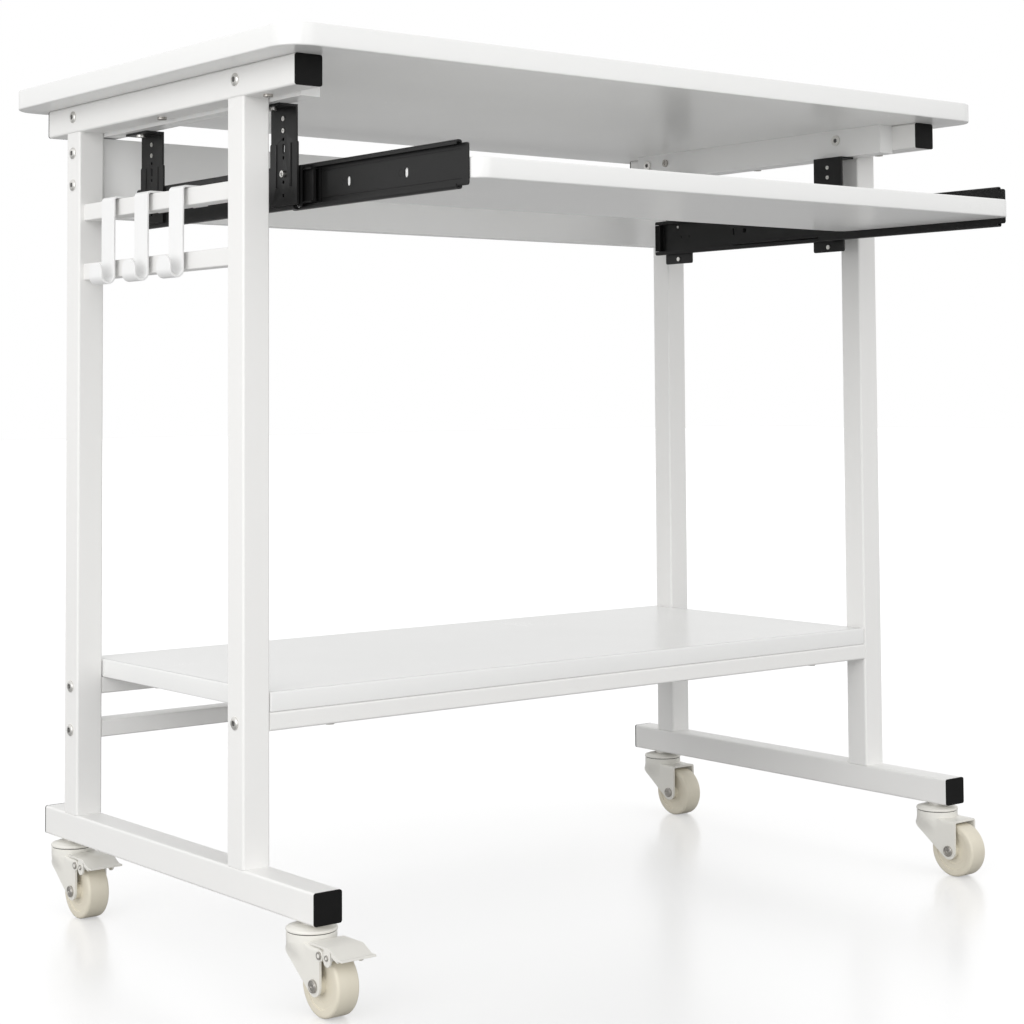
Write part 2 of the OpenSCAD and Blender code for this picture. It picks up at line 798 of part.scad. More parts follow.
// Middle rail of the left slide: two channels back to back, joined at the webs, with
// a hole and a slot that lie over the fixed channel's when the tray is pulled out
module slide_middle() {
    half = slide_w / 2 - middle_u;
    color(black) translate([-slide_x + slide_w / 2, 0, slide_z]) difference() {
        translate([0, middle_front_y + middle_len, 0]) rotate([90, 0, 0])
            linear_extrude(middle_len) {
                square([2 * middle_t, middle_h], center = true);
                for (sv = [-1, 1])
                    translate([0, sv * (middle_h - middle_t) / 2])
                        square([2 * half, middle_t], center = true);
            }
        translate([0, base_open_y, 0]) bore_x(web_hole_d, 3 * middle_t);
        for (y = base_slot_y) translate([0, y, 0]) rotate([90, 0, 90])
            linear_extrude(3 * middle_t, center = true) slot_shape(slot_w, slot_h);
    }
}

// Ball retainer strip about place y, pierced where count balls sit in each row
module cage(y, count) {
    cage_len = (count - 1) * ball_pitch + cage_margin;
    reach = ball_u - cage_u - cage_t;
    pocket = 2 * sqrt(max(0, pow(ball_d / 2, 2) - pow(reach, 2))) + 4 * fit;
    translate([cage_u, y - cage_len / 2, -cavity_h / 2 + gap]) difference() {
        cube([cage_t, cage_len, cavity_h - 2 * gap]);
        for (i = [0:count - 1], sv = [-1, 1])
            translate([0, cage_margin / 2 + i * ball_pitch, cavity_h / 2 - gap + sv * ball_v])
                bore_x(pocket, 3 * cage_t);
    }
}

// The balls of one cage, in an upper and a lower row
module ball_rows(y, count) {
    for (i = [0:count - 1], sv = [-1, 1])
        translate([ball_u, y + (i - (count - 1) / 2) * ball_pitch, sv * ball_v])
            sphere(d = ball_d);
}

// Places a slide-layer shape in the left fixed channel, or turned round in the runner
module in_base() {
    translate([-slide_x, 0, slide_z]) children();
}

module in_runner() {
    translate([-slide_x + slide_w, 0, slide_z]) mirror([1, 0, 0]) children();
}

module base_cages() {
    color(steel) for (s = [left, right]) on_side(s) in_base() cage(base_cage_y, base_ball_count);
}

module base_balls() {
    color(steel) for (s = [left, right]) on_side(s) in_base() ball_rows(base_cage_y, base_ball_count);
}

module runner_cages() {
    color(steel) for (s = [left, right]) on_side(s) in_runner()
        cage(runner_cage_y, runner_ball_count);
}

module runner_balls() {
    color(steel) for (s = [left, right]) on_side(s) in_runner()
        ball_rows(runner_cage_y, runner_ball_count);
}

// Moving channel of the left slide, with a flat tongue at its front end
module slide_runner() {
    color(black) in_runner() difference() {
        union() {
            translate([0, runner_front_y + runner_len, 0]) rotate([90, 0, 0])
                linear_extrude(runner_len) channel_section();
            translate([0, runner_front_y + slide_r, 0]) rotate([90, 0, 90])
                linear_extrude(slide_wall) round_rect(2 * (tongue_len + slide_r), tongue_h, slide_r);
        }
        for (y = runner_screw_y) translate([0, y, 0]) rotate([0, 90, 0])
            cylinder(d1 = screw_d + fit, d2 = countersink_d + 2 * fit, h = slide_wall);
        for (y = runner_hole_y) translate([0, y, 0]) rotate([90, 0, 90])
            linear_extrude(3 * slide_wall, center = true) slot_shape(runner_hole_w, slot_h);
        for (sv = [-1, 1]) translate([slide_wall, runner_front_y + runner_len / 2, sv * groove_v])
            cube([2 * groove_depth, runner_len + 2 * cut, groove_w], center = true);
    }
}

// Keyboard tray, drilled at both edges for the runners' screws
module tray_board() {
    color(paint) difference() {
        translate([0, tray_front_y + tray_d / 2, tray_z])
            board(2 * tray_half, tray_d, tray_t, tray_corner_r);
        for (sx = [left, right], y = runner_screw_y)
            translate([sx * tray_half, y, slide_z]) bore_x(screw_d + fit, 2 * screw_bite);
    }
}

// Countersunk screws that hold the left runner to the tray's edge
module side_tray_screws() {
    in_runner() for (y = runner_screw_y) translate([0, y, 0]) rotate([0, 90, 0]) {
        cylinder(d1 = screw_d, d2 = countersink_d, h = slide_wall - fit);
        translate([0, 0, fit - screw_bite]) cylinder(d = screw_d, h = screw_bite);
    }
}

module tray_screws() {
    color(steel) {
        side_tray_screws();
        on_side(right) side_tray_screws();
    }
}

// A quarter bend of strap about the origin, in the quadrant of the given signs
module bend(inner_r, sx, sy) {
    outer_r = inner_r + hook_t;
    intersection() {
        difference() {
            circle(outer_r);
            circle(inner_r);
        }
        scale([sx, sy]) square(outer_r);
    }
}

// Side view of a hook, in X (outward is minus) and Z
module hook_section() {
    bend_r = hook_t;
    top_z = hook_seat_z + fit;
    leg_low = hook_curl_z;
    leg_high = top_z - bend_r;
    translate([-hook_leg_x - hook_t, leg_low]) square([hook_t, leg_high - leg_low]);
    translate([-hook_leg_x + bend_r, leg_high]) bend(bend_r, -1, 1);
    translate([-hook_leg_x + bend_r, top_z])
        square([hook_leg_x - hook_back_x - 2 * bend_r, hook_t]);
    translate([-hook_back_x - bend_r, leg_high]) bend(bend_r, 1, 1);
    translate([-hook_back_x, leg_high - hook_back_h]) square([hook_t, hook_back_h]);
    translate([-hook_curl_x, hook_curl_z]) {
        bend(hook_curl_r, 1, -1);
        bend(hook_curl_r, -1, -1);
        translate([-hook_curl_r - hook_t, 0]) square([hook_t, hook_tip_h]);
    }
}

// Strap hook about place y, its tip rounded like a tongue
module hook(y) {
    far = hook_curl_r + 2 * hook_t;
    round_z = hook_curl_z + hook_tip_h - hook_tip_r;
    color("White") translate([0, y, 0]) difference() {
        rotate([90, 0, 0]) linear_extrude(hook_w, center = true) hook_section();
        for (sy = [-1, 1])
            translate([-hook_curl_x - far, sy * (hook_w / 2 - hook_tip_r), round_z])
                difference() {
                    translate([0, sy > 0 ? 0 : -hook_tip_r - cut, 0])
                        cube([far, hook_tip_r + cut, hook_tip_r + cut]);
                    translate([far / 2, 0, 0]) bore_x(2 * hook_tip_r, far + 2 * cut);
                }
    }
}

module rear_hook() hook(hook_ys[0]);
module middle_hook() hook(hook_ys[1]);
module front_hook() hook(hook_ys[2]);

// Threaded stem with its collar, domed head and the pin that the fork turns on
module caster_stem() {
    translate([0, 0, caster_h]) cylinder(d = stem_d, h = stem_up);
    translate([0, 0, caster_h - collar_h]) cylinder(d = collar_d, h = collar_h);
    dome_h = caster_h - collar_h - head_low_z;
    rim_h = dome_h / 3;
    translate([0, 0, head_low_z]) {
        cylinder(d = head_d, h = rim_h);
        translate([0, 0, rim_h]) cylinder(d1 = head_d, d2 = collar_d, h = dome_h - rim_h);
    }
    pin_low = fork_top_z - fork_t - gap;
    translate([0, 0, pin_low]) cylinder(d = pin_d, h = head_low_z - pin_low);
    translate([0, 0, pin_low - pin_foot_t]) cylinder(d = pin_foot_d, h = pin_foot_t);
}

module caster_stems() {
    color(putty) for (sx = [left, right], y = [front_caster_y, rear_caster_y])
        translate([sx * tube_x, y, 0]) caster_stem();
}

// Outline of a fork cheek in Y and Z, from the axle's eye up to the top plate
module cheek_outline(lobe) {
    knee = [cheek_back, cheek_knee_z];
    eye = [-trail, wheel_r];
    span = norm(knee - eye);
    turn = atan2(knee[1] - eye[1], knee[0] - eye[0]) - acos(axle_eye_r / span);
    polygon([[cheek_back, fork_top_z], knee,
        eye + axle_eye_r * [cos(turn), sin(turn)], eye,
        eye - [axle_eye_r, 0], [-trail - axle_eye_r, fork_top_z]]);
    translate(eye) circle(axle_eye_r);
    if (lobe) translate([pivot_y, pivot_z]) circle(lobe_r);
}

// Swivel fork about the swivel axis, its wheel trailing to the front
module fork(lobe) {
    plate_front = lobe ? pivot_y + lobe_r + gap : -trail - axle_eye_r;
    color(putty) difference() {
        union() {
            translate([0, 0, fork_top_z - fork_t])
                cylinder(d = head_d - cut, h = head_low_z - gap - fork_top_z + fork_t);
            translate([-fork_w / 2, plate_front, fork_top_z - fork_t])
                cube([fork_w, cheek_back - plate_front, fork_t]);
            for (sx = [-1, 1])
                translate([sx * (cheek_x + fork_t / 2), 0, 0]) rotate([90, 0, 90])
                    linear_extrude(fork_t, center = true) cheek_outline(lobe);
        }
        translate([0, 0, fork_top_z - 2 * fork_t])
            cylinder(d = pin_d + 2 * gap, h = head_low_z - fork_top_z + 3 * fork_t);
        translate([0, -trail, wheel_r]) bore_x(axle_d + 2 * fit, fork_w + 2 * cut);
        if (lobe) translate([0, pivot_y, pivot_z]) bore_x(pivot_d + 2 * gap, fork_w + 2 * cut);
    }
}

// Axle through the cheeks, with a head at each end
module axle() {
    color(steel) translate([0, -trail, wheel_r]) {
        bore_x(axle_d, fork_w);
        for (sx = [-1, 1])
            translate([sx * (fork_w + axle_head_t) / 2, 0, 0]) bore_x(axle_head_d, axle_head_t);
    }
}

// Wheel turned from one profile: tread, recessed faces and hub
module wheel() {
    hub_half = cheek_x - gap;
    color(cream) translate([0, -trail, wheel_r]) rotate([0, 90, 0]) difference() {
        union() {
            rotate_extrude($fn = 64) {
                translate([0, -wheel_w / 2]) square([wheel_r - tread_r, wheel_w]);
                translate([0, tread_r - wheel_w / 2]) square([wheel_r, wheel_w - 2 * tread_r]);
                for (sv = [-1, 1])
                    translate([wheel_r - tread_r, sv * (wheel_w / 2 - tread_r)]) circle(tread_r);
            }
            cylinder(d = hub_d, h = 2 * hub_half, center = true);
        }
        for (sv = [-1, 1]) translate([0, 0, sv * wheel_w / 2]) difference() {
            cylinder(d = recess_d, h = 2 * recess_t, center = true);
            cylinder(d = hub_d, h = 3 * recess_t, center = true);
        }
        cylinder(d = axle_d + 2 * gap, h = 3 * hub_half, center = true);
    }
}

// Side view of a pedal's bent plate, in Y and Z from its underside
module pedal_plate(rear_y, bend_y, step_y, tip_y) {
    low = -pedal_step_h;
    polygon([[rear_y, 0], [rear_y, pedal_t], [bend_y, pedal_t], [step_y, low + pedal_t],
        [tip_y, low + pedal_t], [tip_y, low], [step_y, low], [bend_y, 0]]);
}

// Side view of a pedal's skirt, in Y and Z from the plate's underside: a round-ended
// tongue, and ahead of a notch a strip along the step
module pedal_skirt(rear_y, bend_y, step_y) {
    round_z = skirt_w / 2 - skirt_h;
    notch_y = rear_y - skirt_w - notch_w;
    notch_z = pedal_t / 2 - pedal_step_h * (bend_y - notch_y) / (bend_y - step_y);
    translate([rear_y - skirt_w / 2, round_z]) circle(d = skirt_w);
    translate([rear_y - skirt_w, round_z]) square([skirt_w, pedal_t / 2 - round_z]);
    polygon([[notch_y, notch_z], [notch_y, notch_z - side_h],
        [step_y, -pedal_step_h - side_h / 2], [step_y, pedal_t / 2 - pedal_step_h]]);
}

// Brake pedal: a bent plate with side skirts, ears on pivot rivets, and a brake shoe
module pedal() {
    plate_z = fork_top_z + pedal_gap;
    bend_y = -trail - wheel_r + pedal_bend;
    step_y = bend_y - pedal_step_len;
    ear_x = cheek_x - gap - pedal_t;
    ear_low = pivot_z - lobe_r / 2;
    shoe_rear = pivot_y - lobe_r;
    pin_len = fork_w / 2 + fit - ear_x;
    color(putty) difference() {
        union() {
            translate([0, 0, plate_z]) rotate([90, 0, 90]) linear_extrude(fork_w, center = true)
                pedal_plate(-head_d / 2 - gap, bend_y, step_y, -trail - wheel_r - pedal_reach);
            for (sx = [-1, 1]) {
                translate([sx * (ear_x + pedal_t / 2), 0, 0]) rotate([90, 0, 90])
                    linear_extrude(pedal_t, center = true) {
                        translate([pivot_y, pivot_z]) circle(lobe_r);
                        translate([bend_y, ear_low]) square([pivot_y - bend_y, plate_z - ear_low]);
                    }
                translate([sx * (fork_w - pedal_t) / 2, 0, plate_z]) rotate([90, 0, 90])
                    linear_extrude(pedal_t, center = true)
                        pedal_skirt(pivot_y - lobe_r - skirt_gap, bend_y, step_y);
            }
            translate([-ear_x, shoe_rear - shoe_len, ear_low])
                cube([2 * ear_x, shoe_len, plate_z - ear_low]);
        }
        translate([0, -trail, wheel_r]) bore_x(wheel_d + 2 * shoe_gap, 2 * ear_x);
    }
    color(steel) for (sx = [-1, 1]) translate([sx * (ear_x + pin_len / 2), pivot_y, pivot_z]) {
        bore_x(pivot_d, pin_len);
        translate([sx * (pin_len + fork_t / 2) / 2, 0, 0]) bore_x(2 * pivot_d, fork_t / 2);
    }
    stud_y = pivot_y - lobe_r - skirt_gap - skirt_w / 2;
    color(steel) for (sx = [-1, 1]) translate([sx * (fork_w + stud_t) / 2, stud_y, pivot_z])
        bore_x(stud_d, stud_t);
}

// Moves a piece of the table from the middle of the feet to its place
module placed(side = left) {
    translate([0, middle_y, 0]) on_side(side) children();
}

// Moves a caster piece to its place under a foot tube
module at_caster(side, y) {
    translate([side * tube_x, middle_y + y, 0]) children();
}

placed() tabletop();
placed() top_tube();  // left_top_tube
placed(right) top_tube();  // right_top_tube
placed() upright(front_upright_y, front_bolt_z);  // left_front_upright
placed() upright(rear_upright_y, rear_bolt_z);  // left_rear_upright
placed(right) upright(front_upright_y, front_bolt_z);  // right_front_upright
placed(right) upright(rear_upright_y, rear_bolt_z);  // right_rear_upright
placed() foot_tube();  // left_foot_tube
placed(right) foot_tube();  // right_foot_tube
placed() tube_end_caps();
placed() rear_panel();
placed() upper_hook_rail();
placed() lower_hook_rail();
placed() shelf_board();
placed() shelf_front_beam();
placed() shelf_rear_beam();
placed() rear_crossbar();
placed() batten();  // left_batten
placed(right) batten();  // right_batten
placed() frame_bolts();
placed() board_screws();
placed() left_bracket(front_bracket_y);  // left_front_bracket
placed() left_bracket(rear_bracket_y);  // left_rear_bracket
placed(right) right_bracket(front_bracket_y);  // right_front_bracket
placed(right) right_bracket(rear_bracket_y);  // right_rear_bracket
placed() bracket_screws();
placed() slide_base();  // left_slide_base
placed(right) slide_base();  // right_slide_base
placed() slide_latches();
placed() slide_bumpers();
placed() slide_middle();  // left_slide_middle
placed(right) slide_middle();  // right_slide_middle
placed() base_cages();
placed() base_balls();
placed() runner_cages();
placed() runner_balls();
placed() slide_runner();  // left_slide_runner
placed(right) slide_runner();  // right_slide_runner
placed() tray_board();
placed() tray_screws();
placed() rear_hook();
placed() middle_hook();
placed() front_hook();
placed() caster_stems();
at_caster(left, front_caster_y) fork(true);  // left_front_fork
at_caster(left, rear_caster_y) fork(true);  // left_rear_fork
at_caster(right, front_caster_y) fork(false);  // right_front_fork
at_caster(right, rear_caster_y) fork(false);  // right_rear_fork
at_caster(left, front_caster_y) axle();  // left_front_axle
at_caster(left, rear_caster_y) axle();  // left_rear_axle
at_caster(right, front_caster_y) axle();  // right_front_axle
at_caster(right, rear_caster_y) axle();  // right_rear_axle
at_caster(left, front_caster_y) wheel();  // left_front_wheel
at_caster(left, rear_caster_y) wheel();  // left_rear_wheel
at_caster(right, front_caster_y) wheel();  // right_front_wheel
at_caster(right, rear_caster_y) wheel();  // right_rear_wheel
at_caster(left, front_caster_y) pedal();  // left_front_pedal
at_caster(left, rear_caster_y) pedal();  // left_rear_pedal
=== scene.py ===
"""Visual model of a mobile laptop table, dressed around its packed construction.

Every length is in metres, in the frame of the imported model: X to the right, Y to
the rear and Z up. Each sub-assembly is a class that builds and dresses its own
pieces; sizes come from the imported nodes' boxes wherever a node has them.
"""

import json
import logging
import math
from dataclasses import dataclass
from enum import Enum

import bmesh
import bpy
import numpy as np
from mathutils import Matrix, Vector

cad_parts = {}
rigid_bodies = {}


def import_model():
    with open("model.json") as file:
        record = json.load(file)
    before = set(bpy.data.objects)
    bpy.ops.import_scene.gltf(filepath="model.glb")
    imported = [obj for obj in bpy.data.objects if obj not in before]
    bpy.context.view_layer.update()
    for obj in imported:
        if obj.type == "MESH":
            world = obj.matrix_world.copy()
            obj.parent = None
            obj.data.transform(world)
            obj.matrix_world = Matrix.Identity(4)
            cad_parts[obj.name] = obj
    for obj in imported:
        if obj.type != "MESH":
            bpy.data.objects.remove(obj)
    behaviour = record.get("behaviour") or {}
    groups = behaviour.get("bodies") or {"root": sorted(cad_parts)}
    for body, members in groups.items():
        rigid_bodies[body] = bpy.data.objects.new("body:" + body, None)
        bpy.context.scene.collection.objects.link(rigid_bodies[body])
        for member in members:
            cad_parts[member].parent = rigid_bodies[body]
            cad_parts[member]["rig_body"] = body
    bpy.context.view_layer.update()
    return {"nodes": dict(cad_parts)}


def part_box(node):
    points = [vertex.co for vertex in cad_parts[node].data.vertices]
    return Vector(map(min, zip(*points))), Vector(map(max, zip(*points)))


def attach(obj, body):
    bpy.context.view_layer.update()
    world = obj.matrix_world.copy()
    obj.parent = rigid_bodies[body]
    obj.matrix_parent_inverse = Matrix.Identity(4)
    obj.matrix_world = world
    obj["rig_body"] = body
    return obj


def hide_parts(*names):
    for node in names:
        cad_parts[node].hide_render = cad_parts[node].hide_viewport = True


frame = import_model()

LOG = logging.getLogger("table")
MM = 0.001
TAU = 2.0 * math.pi
WELD = 1e-6
SLIVER = 1e-7
FLAT_ANGLE = math.radians(0.5)
SOFT_ANGLE = 40.0
TURNED_ANGLE = 35.0
FINE_ANGLE = 30.0
Colour = tuple[float, float, float]
Place = tuple[float, float, float]


class Side(Enum):
    """The two sides of the table, with the sign of their X."""

    LEFT = -1
    RIGHT = 1

    @property
    def word(self) -> str:
        """The side's name as the nodes spell it."""
        return self.name.lower()


class End(Enum):
    """The two ends of a foot, front and rear."""

    FRONT = "front"
    REAR = "rear"


def rgba(colour: Colour) -> tuple[float, float, float, float]:
    """Returns the colour with an alpha of one."""
    return (*colour, 1.0)


def placed(name: str, data: bpy.types.ID) -> bpy.types.Object:
    """Puts a new object in the scene.

    Args:
        name: The object's name.
        data: The mesh, lamp or camera that it holds.

    Returns:
        The object.
    """
    thing = bpy.data.objects.new(name, data)
    bpy.context.scene.collection.objects.link(thing)
    return thing


class NodeGraph:
    """A thin wrapper that adds and links the shader nodes of one material or world."""

    def __init__(self, tree: bpy.types.NodeTree) -> None:
        """Empties the tree, so that every node in it is one of ours."""
        self.tree = tree
        tree.nodes.clear()

    def feed(self, socket: bpy.types.NodeSocket, value: object) -> None:
        """Feeds an input.

        Args:
            socket: The input socket.
            value: What it gets: an output socket, which is linked, or a plain value.
        """
        if isinstance(value, bpy.types.NodeSocket):
            self.tree.links.new(value, socket)
        else:
            socket.default_value = value

    def add(self, kind: str, settings: dict | None = None, **inputs: object) -> bpy.types.Node:
        """Adds a node.

        Args:
            kind: The node's Blender type name.
            settings: Properties to set on the node itself.
            **inputs: Socket values or output sockets, keyed by the socket's name with
                underscores for spaces.

        Returns:
            The new node.
        """
        node = self.tree.nodes.new(kind)
        for key, value in (settings or {}).items():
            setattr(node, key, value)
        for key, value in inputs.items():
            self.feed(node.inputs[key.replace("_", " ")], value)
        return node

    def math(self, operation: str, first: object, second: object) -> bpy.types.NodeSocket:
        """Adds a Math node.

        Args:
            operation: The node's operation.
            first: Its first value or output socket.
            second: Its second value or output socket.

        Returns:
            The socket of its result.
        """
        node = self.add("ShaderNodeMath", {"operation": operation})
        for socket, value in zip(node.inputs, (first, second)):
            self.feed(socket, value)
        return node.outputs[0]

    def blend(self, share: object, first: Colour, second: Colour) -> bpy.types.NodeSocket:
        """Adds a Mix node of two colours, whose sockets are 0, 6 and 7 in and 2 out.

        Args:
            share: How much of the second colour shows, from 0 to 1.
            first: The colour at 0.
            second: The colour at 1.

        Returns:
            The socket of the mixed colour.
        """
        node = self.add("ShaderNodeMix", {"data_type": "RGBA"})
        self.feed(node.inputs[0], share)
        self.feed(node.inputs[6], rgba(first))
        self.feed(node.inputs[7], rgba(second))
        return node.outputs[2]


@dataclass(frozen=True)
class Finish:
    """A surface finish with a fine grain, soft clouds of tone and a matching gloss.

    Attributes:
        slot: The record's material slot.
        colour: Base colour, linear.
        roughness: Middle roughness.
        metallic: 0 for paint and plastic, 1 for bare metal.
        coat: Weight of a clear gloss over the colour.
        grain: Size of the fine relief.
        relief: Height of the fine relief.
        cloud: Size of the soft changes of tone.
        tone: How far the tone changes, as a share of the colour.
        specular: Level of the plain reflection of paint and plastic.
        label: The material's name, where a slot has more than one finish.
        gloss_change: How far the roughness changes, as a share of it.
    """

    slot: str
    colour: Colour
    roughness: float
    metallic: float = 0.0
    coat: float = 0.0
    grain: float = 0.8 * MM
    relief: float = 0.02 * MM
    cloud: float = 60 * MM
    tone: float = 0.02
    specular: float = 0.5
    label: str = ""
    gloss_change: float = 0.15

    def material(self) -> bpy.types.Material:
        """Builds the finish as a node material, the first time that it is asked for.

        Clouds of tone shift the colour between its darker and its lighter shade. Clouds
        and grain in equal parts shift the gloss, and the grain alone makes the relief.

        Returns:
            The material.
        """
        name = (self.label or self.slot) + "_finish"
        found = bpy.data.materials.get(name)
        if found:
            return found
        material = bpy.data.materials.new(name)
        material.use_nodes = True
        graph = NodeGraph(material.node_tree)
        place = graph.add("ShaderNodeTexCoord").outputs["Object"]
        clouds, grain = (
            graph.add("ShaderNodeTexNoise", Vector=place, Scale=1 / size,
                      Detail=detail).outputs["Fac"]
            for size, detail in ((self.cloud, 3.0), (self.grain, 2.0)))
        colour = graph.blend(clouds, tuple(c * (1 - self.tone) for c in self.colour),
                             tuple(min(1.0, c * (1 + self.tone)) for c in self.colour))
        marks = graph.math("MULTIPLY", graph.math("ADD", clouds, grain), 0.5)
        gloss = graph.add("ShaderNodeMapRange", Value=marks,
                          To_Min=self.roughness * (1 - self.gloss_change),
                          To_Max=min(1.0, self.roughness * (1 + self.gloss_change)))
        bump = graph.add("ShaderNodeBump", Height=grain, Strength=1.0, Distance=self.relief)
        shader = graph.add("ShaderNodeBsdfPrincipled", Base_Color=colour,
                           Roughness=gloss.outputs[0], Normal=bump.outputs[0],
                           Metallic=self.metallic, Coat_Weight=self.coat,
                           Specular_IOR_Level=self.specular)
        graph.add("ShaderNodeOutputMaterial", Surface=shader.outputs[0])
        return material


LAMINATE = Finish("white_laminate", (0.86, 0.86, 0.85), 0.26, grain=1.1 * MM,
                  relief=0.008 * MM, cloud=160 * MM, tone=0.012)
POWDER = Finish("white_powder_coat", (0.86, 0.855, 0.84), 0.38, grain=1.6 * MM,
                relief=0.035 * MM, cloud=90 * MM, tone=0.012)
BLACK_PLASTIC = Finish("black_plastic", (0.007, 0.007, 0.007), 0.5, grain=0.5 * MM,
                       relief=0.03 * MM, cloud=12 * MM, tone=0.2, specular=0.1)
BLACK_ENAMEL = Finish("black_enamel", (0.010, 0.010, 0.010), 0.36, grain=1.2 * MM,
                      relief=0.02 * MM, cloud=25 * MM, tone=0.3, specular=0.25)
ZINC = Finish("zinc_steel", (0.74, 0.73, 0.70), 0.34, metallic=1.0, grain=0.3 * MM,
              relief=0.01 * MM, cloud=3 * MM, tone=0.15)
AXLE = Finish("zinc_steel", (0.46, 0.44, 0.41), 0.38, metallic=1.0, grain=0.3 * MM,
              relief=0.01 * MM, cloud=3 * MM, tone=0.2, label="dull_zinc")
# A near-black zinc for discs set in the bolts' and sleeves' sockets, as painted shade of the
# recesses.
PAINTED_SHADE_ZINC = Finish("zinc_steel", (0.10, 0.098, 0.094), 0.5, grain=0.3 * MM,
                relief=0.01 * MM, cloud=3 * MM, tone=0.2, specular=0.3, label="shaded_zinc")
BALL = Finish("ball_steel", (0.72, 0.72, 0.72), 0.12, metallic=1.0, grain=1 * MM,
              relief=0.001 * MM, cloud=2 * MM, tone=0.05)
HOOK_WHITE = Finish("hook_white", (0.88, 0.88, 0.875), 0.30, coat=0.2, grain=3 * MM,
                    relief=0.004 * MM, cloud=30 * MM, tone=0.012)
NYLON = Finish("cream_nylon", (0.74, 0.69, 0.57), 0.42, grain=0.9 * MM, relief=0.03 * MM,
               cloud=14 * MM, tone=0.05)
PUTTY = Finish("putty_enamel", (0.80, 0.785, 0.735), 0.36, coat=0.1, grain=1.0 * MM,
               relief=0.03 * MM, cloud=16 * MM, tone=0.03)


class Shell:
    """Collects surface patches, each a grid of points, and closes them into one mesh."""

    def __init__(self) -> None:
        """Starts with no patches."""
        self.points: list[np.ndarray] = []
        self.quads: list[np.ndarray] = []
        self.count = 0

    def patch(self, grid: np.ndarray, close_u: bool = False, close_v: bool = False) -> "Shell":
        """Adds a patch whose quads join neighbouring points of the grid.

        Args:
            grid: Points as an array of shape (U, V, 3).
            close_u: Whether the last row joins the first.
            close_v: Whether the last column joins the first.

        Returns:
            The shell itself.
        """
        rows, columns = grid.shape[:2]
        u, v = np.meshgrid(np.arange(rows - (not close_u)), np.arange(columns - (not close_v)),
                           indexing="ij")
        u_next, v_next = (u + 1) % rows, (v + 1) % columns
        corners = (u * columns + v, u_next * columns + v, u_next * columns + v_next,
                   u * columns + v_next)
        self.quads.append(np.stack(corners, -1).reshape(-1, 4) + self.count)
        self.points.append(grid.reshape(-1, 3))
        self.count += rows * columns
        return self

    def turn(self, profile: np.ndarray, centre: Vector, axis: str, steps: int,
             close_u: bool = False) -> "Shell":
        """Adds a turned patch: each point (radius, height) of a profile becomes a circle.

        Args:
            profile: Points of shape (N, 2) as radius and height along the axis.
            centre: The axis's origin.
            axis: "x", "y" or "z".
            steps: Points round each circle.
            close_u: Whether the profile's end joins its start.

        Returns:
            The shell itself.
        """
        angle = np.arange(steps) * TAU / steps
        radius, height = profile[:, :1], profile[:, 1:2]
        ring = (radius * np.cos(angle), radius * np.sin(angle),
                np.broadcast_to(height, (len(profile), steps)))
        order = {"x": (2, 0, 1), "y": (1, 2, 0), "z": (0, 1, 2)}[axis]
        grid = np.stack([ring[i] for i in order], -1) + np.array(centre)
        return self.patch(grid, close_u, close_v=True)

    def build(self, name: str, sharp: float = SOFT_ANGLE) -> bpy.types.Object:
        """Builds the mesh, merges its seams and poles and turns its faces outward.

        Args:
            name: The piece's name.
            sharp: Angle in degrees above which an edge stays sharp.

        Returns:
            The new object, linked to the scene.
        """
        mesh = bpy.data.meshes.new(name)
        mesh.from_pydata(np.concatenate(self.points), [], np.concatenate(self.quads).tolist())
        work = bmesh.new()
        work.from_mesh(mesh)
        bmesh.ops.remove_doubles(work, verts=work.verts, dist=WELD)
        bmesh.ops.dissolve_degenerate(work, edges=work.edges, dist=SLIVER)
        bmesh.ops.recalc_face_normals(work, faces=work.faces)
        work.to_mesh(mesh)
        work.free()
        mesh.shade_smooth()
        mesh.set_sharp_from_angle(angle=math.radians(sharp))
        return placed(name, mesh)


def rounded(corners: list[tuple[float, float, float]], steps: int = 6) -> np.ndarray:
    """Rounds the corners of an open outline.

    Each corner gives way to the arc that touches both of its edges: the arc starts
    radius / tan(half the corner's angle) before the corner and ends as far after it.
    A corner that is nearly straight stays, and so does one with no radius. Along the
    arc, the two ends are mixed in the ratio of the sines of the turns left and done.

    Args:
        corners: Points as (first, second, radius); the radius of the ends is not used.
        steps: Points along each arc, less one.

    Returns:
        The outline's points, of shape (N, 2).
    """
    straight = 1.55
    places = np.array([c[:2] for c in corners], float)
    parts = [places[:1]]
    for before, here, after, corner in zip(places, places[1:], places[2:], corners[1:-1]):
        radius = corner[2]
        back, ahead = before - here, after - here
        back, ahead = back / np.linalg.norm(back), ahead / np.linalg.norm(ahead)
        half = math.acos(float(np.clip(back @ ahead, -1, 1))) / 2
        if radius <= 0 or half > straight:
            parts.append(here[None])
            continue
        reach = radius / math.tan(half)
        middle = here + (back + ahead) / np.linalg.norm(back + ahead) * radius / math.sin(half)
        start, end = here + back * reach - middle, here + ahead * reach - middle
        t = np.linspace(0, 1, steps + 1)[:, None]
        sweep = math.pi - 2 * half
        arc = (np.sin((1 - t) * sweep) * start + np.sin(t * sweep) * end) / math.sin(sweep)
        parts.append(middle + arc)
    parts.append(places[-1:])
    return np.concatenate(parts)


